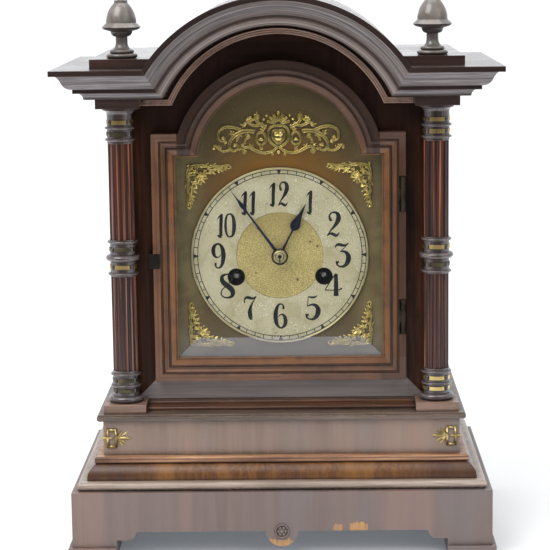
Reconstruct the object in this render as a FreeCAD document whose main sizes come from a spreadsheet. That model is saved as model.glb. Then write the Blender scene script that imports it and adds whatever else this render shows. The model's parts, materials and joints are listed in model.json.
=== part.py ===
import FreeCAD, Part
import math
import os

import Sketcher

# Mantel clock with a break-arch hood, two half columns, a glazed door and a pendulum movement.
# Frame: +X to the right seen from the front, +Y to the back, +Z up, millimetres.
# Origin: under the middle of the clock's bounding box, on the surface that it stands on.

# ---------------------------------------------------------------- driving sizes

SIZE_TABLE = [
    # base, from the feet up
    ("pad_height", 8.0),
    ("pad_length", 37.5),
    ("pad_depth", 42.0),
    ("pad_overhang", 3.0),
    ("base_overhang", 33.5),
    ("base_depth", 209.5),
    ("apron_height", 43.7),
    ("apron_board", 14.0),
    ("foot_length", 34.5),
    ("foot_step", 8.6),
    ("foot_step_rise", 5.6),
    ("cutout_rise", 12.4),
    ("drop_radius", 12.4),
    ("rosette_radius", 5.6),
    ("rosette_relief", 2.4),
    ("rosette_lip", 1.3),
    ("rosette_boss", 1.9),
    ("torus_inset", 4.1),
    ("torus_height", 6.7),
    ("cushion_inset", 11.5),
    ("cushion_height", 12.4),
    ("cushion_slope", 7.6),
    ("cushion_foot", 1.6),
    ("fillet_inset", 17.1),
    ("fillet_height", 5.2),
    ("fillet_round", 1.3),
    ("pedestal_inset", 23.9),
    ("pedestal_height", 27.4),
    ("pedestal_board", 12.0),
    ("cap_inset", 19.3),
    ("cap_height", 5.8),
    ("cap_thumb", 2.9),
    ("cap_quirk", 0.9),
    ("cap_fillet", 1.7),
    # corner ornaments of the pedestal
    ("mount_sheet", 1.2),
    ("mount_height", 15.2),
    ("mount_frame", 2.2),
    ("mount_frame_width", 8.2),
    ("mount_edge", 3.6),
    ("mount_leaf_reach", 12.4),
    ("mount_rise", 13.7),
    # case body
    ("case_width", 260.0),
    ("case_setback", 54.5),
    ("side_board", 12.0),
    ("frame_board", 10.0),
    # sill in front of the case
    ("sill_depth", 20.0),
    ("sill_height", 5.4),
    ("sill_tread", 5.0),
    ("sill_end_gap", 0.3),
    # columns
    ("frieze_overhang", 9.4),
    ("column_setback", 40.5),
    ("plinth_size", 33.2),
    ("plinth_height", 7.0),
    ("shaft_radius", 9.8),
    ("flute_count", 12.0),
    ("flute_radius", 2.6),
    ("flute_depth", 1.15),
    ("column_base_height", 25.1),
    ("column_foot_radius", 13.7),
    ("column_foot_height", 5.0),
    ("lower_shaft_length", 75.1),
    ("collar_height", 29.0),
    ("collar_radius", 13.3),
    ("collar_torus", 4.6),
    ("band_radius", 10.1),
    ("ring_radius", 11.9),
    ("ring_height", 1.9),
    ("band_height", 7.2),
    ("upper_shaft_length", 75.0),
    ("capital_height", 27.6),
    ("capital_radius", 13.4),
    ("capital_flange", 2.0),
    # frieze, cornice and hood
    ("frieze_block", 34.2),
    ("frieze_height", 7.8),
    ("cornice_overhang", 31.4),
    ("cornice_height", 23.2),
    ("crown_fillet", 4.1),
    ("crown_step", 4.7),
    ("cyma_reach", 11.4),
    ("cyma_drop", 11.0),
    ("hollow_reach", 4.0),
    ("hollow_drop", 6.0),
    ("hollow_radius", 16.0),
    ("swell_radius", 8.6),
    ("lower_fillet", 2.9),
    ("lower_step", 3.9),
    ("cove_reach", 3.7),
    ("cove_radius", 6.0),
    ("hood_radius", 120.5),
    ("hood_rise", 66.0),
    ("bead_gap", 3.0),
    ("bead_height", 4.8),
    ("bead_relief", 2.4),
    ("roof_board", 6.0),
    ("finial_board_inset", 28.1),
    ("finial_board", 7.0),
    ("hood_gap", 0.2),
    # finials
    ("finial_inset", 3.0),
    ("finial_foot_radius", 12.0),
    ("finial_foot", 3.5),
    ("finial_ring_radius", 9.4),
    ("finial_ring", 3.0),
    ("finial_neck_radius", 4.6),
    ("finial_neck", 9.8),
    ("finial_flare", 5.4),
    ("finial_flare_radius", 7.2),
    ("finial_bowl_radius", 8.4),
    ("finial_bowl", 4.0),
    ("finial_rim_radius", 15.2),
    ("finial_rim", 6.5),
    ("finial_dome_radius", 11.7),
    ("finial_dome", 15.2),
    ("finial_tip_radius", 5.2),
    ("finial_tip", 10.0),
    # door
    ("door_side_gap", 6.8),
    ("door_foot", 21.7),
    ("door_shoulder", 195.6),
    ("door_arch_radius", 82.0),
    ("door_arch_drop", 25.8),
    ("door_rail", 18.0),
    ("door_flat", 5.5),
    ("door_quirk", 0.8),
    ("door_reed", 0.7),
    ("door_cove_reach", 4.0),
    ("door_cove_drop", 2.0),
    ("door_bead", 0.8),
    ("door_slope_reach", 4.1),
    ("door_slope_drop", 1.0),
    ("door_thickness", 12.0),
    ("door_lap", 7.0),
    ("door_gap", 0.3),
    ("sight_lip", 1.2),
    ("glass_sheet", 3.0),
    ("glass_lap", 3.0),
    ("glass_gap", 0.2),
    ("glass_seat", 3.0),
    ("bead_strip", 2.8),
    # hinges and catch of the door
    ("hinge_length", 27.0),
    ("hinge_upper", 147.3),
    ("hinge_lower", 50.2),
    ("hinge_edge", 2.0),
    ("knuckle_radius", 2.3),
    ("hinge_pin_radius", 0.9),
    ("hinge_clearance", 0.05),
    ("hinge_leaf", 1.2),
    ("hinge_notch", 6.2),
    ("hinge_end_gap", 0.3),
    ("hinge_mortise", 7.0),
    ("catch_height", 96.0),
    ("catch_length", 11.5),
    ("catch_width", 8.6),
    ("catch_sheet", 1.4),
    ("catch_notch", 5.2),
    ("catch_gap", 0.4),
    # dial
    ("dial_sheet", 1.6),
    ("dial_lap", 3.0),
    ("dial_centre", 118.6),
    ("dial_bore", 4.6),
    ("dial_bore_depth", 6.0),
    ("chapter_outer", 70.0),
    ("chapter_inner", 34.4),
    ("chapter_sheet", 1.4),
    ("disc_sheet", 0.8),
    ("disc_gap", 0.2),
    ("winding_spread", 69.6),
    ("winding_drop", 17.0),
    ("winding_hole", 6.6),
    ("spandrel_relief", 2.4),
    ("spandrel_corner", 74.0),
    ("spandrel_span", 36.0),
    ("spandrel_rise", 37.0),
    ("spandrel_gap", 2.6),
    ("crest_width", 102.0),
    ("crest_height", 33.0),
    ("crest_rise", 97.5),
    ("crest_boss", 11.0),
    ("crest_wing", 9.0),
    # hands
    ("hours_shown", 12.0),
    ("minutes_shown", 54.0),
    ("hand_sheet", 0.9),
    ("hour_hand_length", 46.0),
    ("hour_hand_gap", 1.4),
    ("minute_hand_length", 67.4),
    ("hand_spacing", 2.0),
    ("hand_boss", 4.6),
    ("hand_stem", 1.3),
    ("hour_spade_start", 30.0),
    ("hour_spade_width", 8.0),
    ("hour_spade_length", 9.5),
    ("minute_leaf_centre", 50.0),
    ("minute_leaf_width", 3.6),
    ("minute_leaf_length", 7.2),
    ("nut_radius", 6.2),
    ("nut_height", 3.2),
    # movement
    ("motion_space", 10.5),
    ("plate_sheet", 1.8),
    ("plate_gap", 36.0),
    ("plate_width", 134.0),
    ("plate_above", 62.0),
    ("plate_below", 50.0),
    ("pillar_radius", 3.4),
    ("pillar_inset", 7.0),
    ("pivot_radius", 0.8),
    ("arbor_radius", 1.4),
    ("third_arbor_radius", 1.0),
    ("escape_arbor_radius", 0.85),
    ("running_clearance", 0.05),
    ("end_shake", 0.3),
    ("centre_arbor_radius", 1.2),
    ("cannon_radius", 2.2),
    ("hour_pipe_radius", 3.3),
    ("cannon_teeth", 14.0),
    ("minute_wheel_teeth", 42.0),
    ("minute_pinion_teeth", 10.0),
    ("hour_wheel_teeth", 40.0),
    ("motion_module", 0.5),
    ("motion_wheel", 1.2),
    ("barrel_teeth", 80.0),
    ("barrel_module", 0.7),
    ("drum_radius", 24.5),
    ("drum_length", 24.0),
    ("great_wheel", 2.2),
    ("winding_arbor_radius", 2.4),
    ("winding_square", 3.4),
    ("winding_recess", 4.0),
    ("second_pinion_teeth", 10.0),
    ("second_wheel_teeth", 72.0),
    ("second_module", 0.55),
    ("centre_pinion_teeth", 12.0),
    ("centre_wheel_teeth", 84.0),
    ("third_pinion_teeth", 7.0),
    ("third_module", 0.5),
    ("third_wheel_teeth", 77.0),
    ("escape_pinion_teeth", 7.0),
    ("escape_module", 0.4),
    ("escape_teeth", 36.0),
    ("escape_radius", 12.0),
    ("escape_rise", 36.0),
    ("train_wheel", 1.2),
    ("anchor_rise", 51.0),
    ("anchor_sheet", 2.2),
    ("pallet_span", 85.0),
    ("pallet_width", 0.5),
    ("pallet_clearance", 0.3),
    ("crutch_length", 34.0),
    ("crutch_gap", 4.0),
    ("crutch_slot_gap", 0.3),
    ("pendulum_length", 143.0),
    ("pendulum_gap", 10.0),
    ("rod_radius", 1.0),
    ("bob_radius", 16.0),
    ("bob_depth", 9.0),
    ("cock_width", 14.0),
    ("cock_sheet", 2.0),
    ("seat_board", 9.0),
    # strike work
    ("hammer_spread", 48.4),
    ("hammer_drop", 46.0),
    ("hammer_head_radius", 4.5),
    ("hammer_head_length", 12.0),
    ("hammer_arm_drop", 28.0),
    ("gong_radius", 40.0),
    ("gong_wire", 1.3),
    ("gong_pitch", 6.4),
    ("gong_turns", 4.0),
    ("gong_gap", 16.8),
    ("gong_block", 16.0),
    # back of the case
    ("back_board", 10.0),
    ("back_recess", 5.0),
    ("rear_door_width", 172.0),
    ("rear_door_height", 196.0),
    ("rear_door_foot", 28.0),
    ("rear_door_gap", 0.5),
    ("rear_hinge_length", 30.0),
    ("rear_hinge_inset", 30.0),
    ("rear_knuckle_radius", 2.0),
    ("rear_leaf_width", 13.0),
    ("rear_leaf", 1.2),
    ("rear_knob_radius", 5.0),
    ("rear_knob_depth", 4.2),
]

doc = FreeCAD.newDocument("MantelClock")
sheet = doc.addObject("Spreadsheet::Sheet", "Sizes")


class Dim:
    """A size that carries its number and the sheet expression that yields it."""

    def __init__(self, value, text):
        self.value = value
        self.text = text

    def __add__(self, other):
        other = as_dim(other)
        return Dim(self.value + other.value, "(%s + %s)" % (self.text, other.text))

    def __sub__(self, other):
        other = as_dim(other)
        return Dim(self.value - other.value, "(%s - %s)" % (self.text, other.text))

    def __mul__(self, other):
        other = as_dim(other)
        return Dim(self.value * other.value, "(%s * %s)" % (self.text, other.text))

    def __truediv__(self, other):
        other = as_dim(other)
        return Dim(self.value / other.value, "(%s / %s)" % (self.text, other.text))

    def __neg__(self):
        return as_dim(0.0) - self

    __radd__ = __add__

    def __rsub__(self, other):
        return as_dim(other) - self

    def __rmul__(self, other):
        return self * other

    def __float__(self):
        return self.value


def as_dim(item):
    """Return item as a Dim, so that plain numbers and sizes mix."""
    if isinstance(item, Dim):
        return item
    return Dim(float(item), "(%r)" % float(item))


def root(item):
    """Square root of a Dim."""
    return Dim(math.sqrt(item.value), "sqrt(%s)" % item.text)


class Sizes:
    """Every driving size as an attribute of the same name."""


S = Sizes()
for row, (alias, number) in enumerate(SIZE_TABLE, start=1):
    sheet.set("A%d" % row, alias)
    sheet.set("B%d" % row, str(number))
    sheet.setAlias("B%d" % row, alias)
doc.recompute()
for alias, number in SIZE_TABLE:
    setattr(S, alias, Dim(float(sheet.get(alias)), "Sizes.%s" % alias))

# ---------------------------------------------------------------- helpers

NODES = []
MITRE_FACETS = 4
ALONG_Y = FreeCAD.Rotation(FreeCAD.Vector(1, 0, 0), -90)
UPRIGHT = FreeCAD.Rotation()


def node(label, item):
    """Register a finished sub-part under its own label."""
    item.Label = label
    NODES.append(item)
    return item


def bind(item, prop, size):
    """Bind a property to the sheet."""
    item.setExpression(prop, as_dim(size).text)


def put(item, x, y, z, turn=UPRIGHT):
    """Place an object at three bound coordinates, after a fixed turn."""
    item.Placement = FreeCAD.Placement(FreeCAD.Vector(0, 0, 0), turn)
    for axis, size in zip("xyz", (x, y, z)):
        bind(item, "Placement.Base." + axis, size)
    return item


def box(name, x, y, z, dx, dy, dz):
    """Box from its low corner and its three edges."""
    item = doc.addObject("Part::Box", name)
    for prop, size in (("Length", dx), ("Width", dy), ("Height", dz)):
        bind(item, prop, size)
    return put(item, x, y, z)


def rod(name, x, y, z, radius, length, turn=ALONG_Y):
    """Cylinder from the centre of its first end, along +Y unless turned."""
    item = doc.addObject("Part::Cylinder", name)
    bind(item, "Radius", radius)
    bind(item, "Height", length)
    return put(item, x, y, z, turn)


def cut(name, base, *tools):
    """Base with every tool taken away."""
    for number, tool in enumerate(tools):
        item = doc.addObject("Part::Cut", "%s_%d" % (name, number))
        item.Base = base
        item.Tool = tool
        base = item
    return base


def fuse(name, *shapes):
    """One solid from shapes that run into each other."""
    item = doc.addObject("Part::MultiFuse", name)
    item.Shapes = list(shapes)
    item.Refine = False
    return item


def common(name, *shapes):
    """What all the shapes share."""
    item = doc.addObject("Part::MultiCommon", name)
    item.Shapes = list(shapes)
    return item


def group(name, *shapes):
    """Separate solids kept together."""
    item = doc.addObject("Part::Compound", name)
    item.Links = list(shapes)
    return item


def mirror(source, normal=(1, 0, 0)):
    """Mirror image of an object through a plane at the origin."""
    item = doc.addObject("Part::Mirroring", source.Name + "_mirror")
    item.Source = source
    item.Base = FreeCAD.Vector(0, 0, 0)
    item.Normal = FreeCAD.Vector(*normal)
    return item


def pair(name, source):
    """The object and its mirror image, left and right."""
    return group(name, source, mirror(source))


class Step:
    """End of one side of an outline: straight, or an arc where a radius is given.

    turn is 1 where the arc runs counter-clockwise and -1 where it runs clockwise.
    """

    def __init__(self, x, y, radius=None, turn=1):
        self.x = as_dim(x)
        self.y = as_dim(y)
        self.radius = None if radius is None else as_dim(radius)
        self.turn = turn


def arc_between(start, end, radius, turn):
    """Circle arc of at most half a turn from start to end."""
    chord = end - start
    middle = (start + end) * 0.5
    height = math.sqrt(max(radius ** 2 - chord.Length ** 2 / 4.0, 0.0))
    side = FreeCAD.Vector(-chord.y, chord.x, 0).normalize() * turn
    centre = middle + side * height
    bulge = centre - side * radius
    return Part.Arc(start, bulge, end)


def new_body(name):
    """Empty body."""
    return doc.addObject("PartDesign::Body", name)


def plane_of(body, role):
    """Origin plane of a body."""
    return [item for item in body.Origin.OriginFeatures if item.Role == role][0]


def sketch_on(body, role, paths, name="Outline"):
    """Sketch of closed outlines on an origin plane of its body."""
    sketch = body.newObject("Sketcher::SketchObject", body.Name + name)
    sketch.AttachmentSupport = [(plane_of(body, role), "")]
    sketch.MapMode = "FlatFace"
    outlines = paths if isinstance(paths[0], list) else [paths]
    first = 0
    for path in outlines:
        draw_from(sketch, path, first)
        first += len(path)
    return sketch


def draw_from(sketch, path, first):
    """Draw one outline after the geometry that the sketch already holds."""
    ends = [FreeCAD.Vector(step.x.value, step.y.value, 0) for step in path]
    joints = []
    for number, step in enumerate(path):
        start, end = ends[number - 1], ends[number]
        if step.radius is None:
            sketch.addGeometry(Part.LineSegment(start, end))
            joints.append((1, 2))
        else:
            sketch.addGeometry(arc_between(start, end, step.radius.value, step.turn))
            joints.append((1, 2) if step.turn > 0 else (2, 1))
    for number, step in enumerate(path):
        after = (number + 1) % len(path)
        last = joints[number][1]
        sketch.addConstraint(Sketcher.Constraint(
            "Coincident", first + number, last, first + after, joints[after][0]))
        for kind, size in (("DistanceX", step.x), ("DistanceY", step.y)):
            index = sketch.addConstraint(
                Sketcher.Constraint(kind, -1, 1, first + number, last, size.value))
            sketch.setExpression("Constraints[%d]" % index, size.text)
        if step.radius is not None:
            index = sketch.addConstraint(
                Sketcher.Constraint("Radius", first + number, step.radius.value))
            sketch.setExpression("Constraints[%d]" % index, step.radius.text)


def pad(name, role, paths, length, at=(0, 0, 0), backwards=False):
    """Body with one outline extruded from an origin plane."""
    body = new_body(name)
    sketch = sketch_on(body, role, paths)
    feature = body.newObject("PartDesign::Pad", name + "Pad")
    feature.Profile = sketch
    feature.Reversed = backwards
    bind(feature, "Length", length)
    return put(body, *at)


def turned(name, path, at=(0, 0, 0)):
    """Body revolved about its own upright axis from an outline of radius and height."""
    body = new_body(name)
    sketch = sketch_on(body, "XZ_Plane", path)
    feature = body.newObject("PartDesign::Revolution", name + "Turn")
    feature.Profile = sketch
    feature.ReferenceAxis = (sketch, ["V_Axis"])
    feature.Angle = 360
    return put(body, *at)


def swung(name, path, at=(0, 0, 0)):
    """Body revolved about its own Y axis from an outline of depth and radius, its seam below."""
    body = new_body(name)
    sketch = sketch_on(body, "YZ_Plane", path)
    feature = body.newObject("PartDesign::Revolution", name + "Swing")
    feature.Profile = sketch
    feature.ReferenceAxis = (sketch, ["H_Axis"])
    feature.Angle = 360
    return put(body, *at, FreeCAD.Rotation(FreeCAD.Vector(0, 1, 0), 180))


def front_plate(name, path, y, thickness):
    """Flat piece with an outline in X and Z, its front at y."""
    return pad(name, "XZ_Plane", path, thickness, (0, y, 0), backwards=True)


def solid_feature(name, shape):
    """Document object for a shape made with Part's own functions."""
    item = doc.addObject("Part::Feature", name)
    item.Shape = shape
    return item


class Edge:
    """Point of an edge profile: how far it lies behind the edge and above the underside."""

    def __init__(self, inset, rise, radius=None, bulge=1):
        self.inset = as_dim(inset)
        self.rise = as_dim(rise)
        self.radius = radius
        self.bulge = bulge


def going_up(profile, x_of, z):
    """Outline steps up the right-hand edge."""
    return [Step(x_of(edge.inset), z + edge.rise, edge.radius, edge.bulge) for edge in profile]


def going_down(profile, x_of, z):
    """Outline steps down the left-hand edge."""
    steps = []
    above = None
    for edge in reversed(profile):
        if above is None or above.radius is None:
            steps.append(Step(x_of(edge.inset), z + edge.rise))
        else:
            steps.append(Step(x_of(edge.inset), z + edge.rise, above.radius, above.bulge))
        above = edge
    return steps


def moulded_board(name, half, front, z, height, profile):
    """Board with the same edge profile on its front and sides, mitred at the front corners."""
    across = going_down(profile, lambda inset: front + inset, z)
    across += [Step(back_y, z), Step(back_y, z + height)]
    along = going_up(profile, lambda inset: half - inset, z)
    along += going_down(profile, lambda inset: inset - half, z)
    run = pad(name + "_run", "YZ_Plane", across, half * 2 + 2, (-half - 1, 0, 0))
    returns = pad(name + "_returns", "XZ_Plane", along, back_y - front + 2, (0, front - 1, 0),
                  backwards=True)
    return common(name, run, returns)


def torus_edges(radius, height, z):
    """Two quarter rounds that make one ring round a turned piece."""
    half = height / 2
    return [Step(radius - half, z), Step(radius, z + half, half), Step(radius - half, z + height, half)]


# ---------------------------------------------------------------- levels

apron_z = S.pad_height
torus_z = apron_z + S.apron_height
cushion_z = torus_z + S.torus_height
fillet_z = cushion_z + S.cushion_height
pedestal_z = fillet_z + S.fillet_height
cap_z = pedestal_z + S.pedestal_height
case_z = cap_z + S.cap_height
base_z = case_z + S.plinth_height
lower_z = base_z + S.column_base_height
collar_z = lower_z + S.lower_shaft_length
upper_z = collar_z + S.collar_height
capital_z = upper_z + S.upper_shaft_length
frieze_z = capital_z + S.capital_height
cornice_z = frieze_z + S.frieze_height
case_top = cornice_z + S.cornice_height
hood_z = case_top - S.hood_rise

case_half = S.case_width / 2
base_half = case_half + S.base_overhang
frieze_half = S.frieze_block / 2
column_x = case_half + S.frieze_overhang - frieze_half
cornice_half = column_x + frieze_half + S.cornice_overhang
cornice_lead = frieze_half + S.cornice_overhang - S.column_setback
back_y = (S.base_depth + cornice_lead) / 2
base_front = back_y - S.base_depth
cornice_front = base_front - cornice_lead
face_y = base_front + S.case_setback
column_y = base_front + S.column_setback
frieze_front = column_y - frieze_half
plinth_half = S.plinth_size / 2
door_half = column_x - plinth_half - S.door_side_gap
inner_half = case_half - S.side_board
roof_inner = S.hood_radius - S.roof_board
back_face = back_y - S.back_recess
back_board_y = back_face - S.back_board

# ---------------------------------------------------------------- base

pad_x = base_half + S.pad_overhang - S.pad_length
front_pad = box("front_pad", pad_x, base_front - S.pad_overhang, 0, S.pad_length, S.pad_depth, S.pad_height)
rear_pad = box("rear_pad", pad_x, back_y - S.pad_depth, 0, S.pad_length, S.pad_depth, S.pad_height)
node("foot_pads", group("foot_pad_set", front_pad, mirror(front_pad), rear_pad, mirror(rear_pad)))

foot_x = base_half - S.foot_length
bracket_x = foot_x - S.foot_step
bracket_radius = S.cutout_rise - S.foot_step_rise
cutout_z = apron_z + S.cutout_rise
apron_path = [
    Step(-base_half, apron_z),
    Step(-foot_x, apron_z),
    Step(-foot_x, apron_z + S.foot_step_rise),
    Step(-bracket_x, apron_z + S.foot_step_rise),
    Step(bracket_radius - bracket_x, cutout_z, bracket_radius),
    Step(-S.drop_radius, cutout_z),
    Step(0, cutout_z - S.drop_radius, S.drop_radius),
    Step(S.drop_radius, cutout_z, S.drop_radius),
    Step(bracket_x - bracket_radius, cutout_z),
    Step(bracket_x, apron_z + S.foot_step_rise, bracket_radius),
    Step(foot_x, apron_z + S.foot_step_rise),
    Step(foot_x, apron_z),
    Step(base_half, apron_z),
    Step(base_half, torus_z),
    Step(-base_half, torus_z),
]
node("front_apron", front_plate("apron_board", apron_path, base_front, S.apron_board))

apron_back = base_front + S.apron_board
side_apron = box("side_apron_right", base_half - S.apron_board, apron_back, apron_z,
                 S.apron_board, back_y - apron_back, S.apron_height)
rear_apron = box("rear_apron_board", S.apron_board - base_half, back_y - S.apron_board, cutout_z,
                 (base_half - S.apron_board) * 2, S.apron_board, S.apron_height - S.cutout_rise)
node("side_aprons", group("side_apron_set", side_apron, mirror(side_apron), rear_apron))

rosette_path = [
    Step(0, 0),
    Step(S.rosette_radius, 0),
    Step(S.rosette_radius, S.rosette_relief - S.rosette_lip),
    Step(S.rosette_radius - S.rosette_lip, S.rosette_relief, S.rosette_lip),
    Step(S.rosette_boss + S.rosette_lip, S.rosette_relief - S.rosette_lip),
    Step(S.rosette_boss, S.rosette_relief - S.rosette_lip),
    Step(0, S.rosette_relief + S.rosette_boss - S.rosette_lip, S.rosette_boss),
]
rosette = turned("rosette_turning", rosette_path)
put(rosette, 0, base_front, cutout_z, FreeCAD.Rotation(FreeCAD.Vector(1, 0, 0), 90))
node("apron_rosette", rosette)

torus_round = S.torus_height / 2
torus_profile = [
    Edge(torus_round, 0),
    Edge(0, torus_round, torus_round),
    Edge(torus_round, S.torus_height, torus_round),
]
node("torus_board", moulded_board("torus_moulding", base_half - S.torus_inset, base_front + S.torus_inset,
                                  torus_z, S.torus_height, torus_profile))

cushion_rise = S.cushion_height - S.cushion_foot
cushion_round = (S.cushion_slope * S.cushion_slope + cushion_rise * cushion_rise) / (S.cushion_slope * 2)
cushion_profile = [
    Edge(0, 0),
    Edge(0, S.cushion_foot),
    Edge(S.cushion_slope, S.cushion_height, cushion_round),
]
node("cushion_moulding", moulded_board("cushion_block", base_half - S.cushion_inset,
                                       base_front + S.cushion_inset, cushion_z, S.cushion_height,
                                       cushion_profile))

fillet_profile = [
    Edge(S.fillet_round, 0),
    Edge(0, S.fillet_round, S.fillet_round),
    Edge(0, S.fillet_height - S.fillet_round),
    Edge(S.fillet_round, S.fillet_height, S.fillet_round),
]
node("cushion_fillet", moulded_board("fillet_board", base_half - S.fillet_inset,
                                     base_front + S.fillet_inset, fillet_z, S.fillet_height,
                                     fillet_profile))

pedestal_half = base_half - S.pedestal_inset
pedestal_front = base_front + S.pedestal_inset
pedestal_inner = pedestal_half - S.pedestal_board
front_wall = box("pedestal_front_wall", -pedestal_half, pedestal_front, pedestal_z,
                 pedestal_half * 2, S.pedestal_board, S.pedestal_height)
side_wall = box("pedestal_side_wall", pedestal_inner, pedestal_front + S.pedestal_board, pedestal_z,
                S.pedestal_board, back_y - pedestal_front - S.pedestal_board, S.pedestal_height)
rear_wall = box("pedestal_rear_wall", -pedestal_inner, back_y - S.pedestal_board, pedestal_z,
                pedestal_inner * 2, S.pedestal_board, S.pedestal_height)
node("pedestal_walls", group("pedestal_wall_set", front_wall, side_wall, mirror(side_wall), rear_wall))

cap_profile = [
    Edge(S.cap_thumb, 0),
    Edge(0, S.cap_thumb, S.cap_thumb),
    Edge(0, S.cap_height - S.cap_fillet),
    Edge(S.cap_quirk, S.cap_height - S.cap_fillet),
    Edge(S.cap_quirk, S.cap_height),
]
node("pedestal_cap", moulded_board("cap_board", base_half - S.cap_inset, base_front + S.cap_inset,
                                   cap_z, S.cap_height, cap_profile))

# Brass corner ornament: a window frame near the edge, a three-leaf spray inwards, a tab round the corner.
mount_z = pedestal_z + S.mount_rise
mount_top = S.mount_height / 2
mount_x = pedestal_half - S.mount_edge
frame_in = mount_x - S.mount_frame_width
leaf_x = frame_in - S.mount_leaf_reach
leaf_half = S.mount_frame
frame_paths = [
    [Step(frame_in, mount_z - mount_top), Step(mount_x, mount_z - mount_top),
     Step(mount_x, mount_z + mount_top), Step(frame_in, mount_z + mount_top)],
    [Step(frame_in + S.mount_frame, mount_z - mount_top + S.mount_frame),
     Step(mount_x - S.mount_frame, mount_z - mount_top + S.mount_frame),
     Step(mount_x - S.mount_frame, mount_z + mount_top - S.mount_frame),
     Step(frame_in + S.mount_frame, mount_z + mount_top - S.mount_frame)],
]
mount_front = pedestal_front - S.mount_sheet
mount_window = front_plate("mount_window", frame_paths, mount_front, S.mount_sheet)
leaf_path = [
    Step(leaf_x, mount_z),
    Step(leaf_x + leaf_half * 2, mount_z - leaf_half),
    Step(leaf_x + leaf_half * 3, mount_z - leaf_half / 2),
    Step(leaf_x + leaf_half, mount_z - mount_top),
    Step(leaf_x + leaf_half * 2.5, mount_z - mount_top),
    Step(frame_in + S.mount_frame / 2, mount_z - leaf_half),
    Step(frame_in + S.mount_frame / 2, mount_z + leaf_half),
    Step(leaf_x + leaf_half * 2.5, mount_z + mount_top),
    Step(leaf_x + leaf_half, mount_z + mount_top),
    Step(leaf_x + leaf_half * 3, mount_z + leaf_half / 2),
    Step(leaf_x + leaf_half * 2, mount_z + leaf_half),
]
mount_leaf = front_plate("mount_leaf", leaf_path, mount_front, S.mount_sheet)
mount_tab = box("mount_tab", mount_x - S.mount_frame / 2, mount_front, mount_z - leaf_half / 2,
                S.mount_edge + S.mount_frame / 2 + S.mount_sheet, S.mount_sheet, leaf_half)
mount_return = box("mount_return", pedestal_half, mount_front, mount_z - leaf_half / 2,
                   S.mount_sheet, S.mount_edge + S.mount_sheet, leaf_half)
node("pedestal_mounts", pair("pedestal_mount_set",
                             fuse("mount", mount_window, mount_leaf, mount_tab, mount_return)))

# ---------------------------------------------------------------- case body

open_half = door_half - S.door_lap
open_bottom = case_z + S.door_foot + S.door_lap
mitre_x = open_half + S.door_foot + S.door_lap
door_z = case_z + S.door_foot
shoulder_z = door_z + S.door_shoulder
arch_z = shoulder_z - S.door_arch_drop


def arched_outline(offset):
    """Outline of the door moved inwards by offset: a shouldered rectangle under an arch."""
    half = door_half - offset
    top = shoulder_z - offset
    radius = S.door_arch_radius - offset
    spring = root(radius * radius - (top - arch_z) * (top - arch_z))
    return [
        Step(-half, door_z + offset),
        Step(half, door_z + offset),
        Step(half, top),
        Step(spring, top),
        Step(-spring, top, radius),
        Step(-half, top),
    ]


def arch_reach(radius, level, centre):
    """Half width of an arch of that radius at a level above its centre."""
    return root(radius * radius - (level - centre) * (level - centre))


joint_z = shoulder_z - S.door_lap
head_radius = roof_inner - S.hood_gap
head_reach = arch_reach(head_radius, case_top, hood_z)
open_radius = S.door_arch_radius - S.door_lap
open_reach = arch_reach(open_radius, joint_z, arch_z)

stile = front_plate("frame_stile", [
    Step(mitre_x, case_z), Step(case_half, case_z), Step(case_half, joint_z),
    Step(open_half, joint_z), Step(open_half, open_bottom)], face_y, S.frame_board)
bottom_rail = front_plate("frame_rail", [
    Step(-mitre_x, case_z), Step(mitre_x, case_z), Step(open_half, open_bottom),
    Step(-open_half, open_bottom)], face_y, S.frame_board)
head = front_plate("frame_head", [
    Step(case_half, joint_z), Step(case_half, case_top), Step(head_reach, case_top),
    Step(-head_reach, case_top, head_radius), Step(-case_half, case_top), Step(-case_half, joint_z),
    Step(-open_reach, joint_z), Step(open_reach, joint_z, open_radius, -1)], face_y, S.frame_board)

hinge_x = door_half - S.hinge_edge
door_back = face_y - S.door_gap
door_front = door_back - S.door_thickness
hinge_heights = [door_z + S.hinge_upper, door_z + S.hinge_lower]
mortises = [box("leaf_mortise_%d" % number, hinge_x - S.hinge_leaf / 2, face_y, level - S.hinge_length / 2,
                S.hinge_leaf, S.hinge_mortise, S.hinge_length)
            for number, level in enumerate(hinge_heights)]
right_stile = cut("right_frame_stile", stile, *mortises)
node("front_frame", group("front_frame_set", right_stile, mirror(stile), bottom_rail, head))

side_y = face_y + S.frame_board
side = box("case_side", inner_half, side_y, case_z, S.side_board, back_y - side_y, case_top - case_z)
node("case_sides", pair("case_side_set", side))

sill_half = column_x - plinth_half - S.sill_end_gap
sill_front = face_y - S.sill_depth
sill_low = S.sill_height / 2
sill_path = [
    Step(sill_front, case_z),
    Step(face_y, case_z),
    Step(face_y, case_z + S.sill_height),
    Step(face_y - S.sill_tread, case_z + S.sill_height),
    Step(face_y - S.sill_tread - sill_low, case_z + sill_low, sill_low, -1),
    Step(sill_front + sill_low / 2, case_z + sill_low),
    Step(sill_front, case_z + sill_low / 2, sill_low / 2),
]
node("sill_moulding", pad("sill_run", "YZ_Plane", sill_path, sill_half * 2, (-sill_half, 0, 0)))

# ---------------------------------------------------------------- columns

plinth = box("column_plinth", column_x - plinth_half, column_y - plinth_half, case_z,
             S.plinth_size, face_y - column_y + plinth_half, S.plinth_height)
node("column_plinths", pair("column_plinth_set", plinth))

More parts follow.
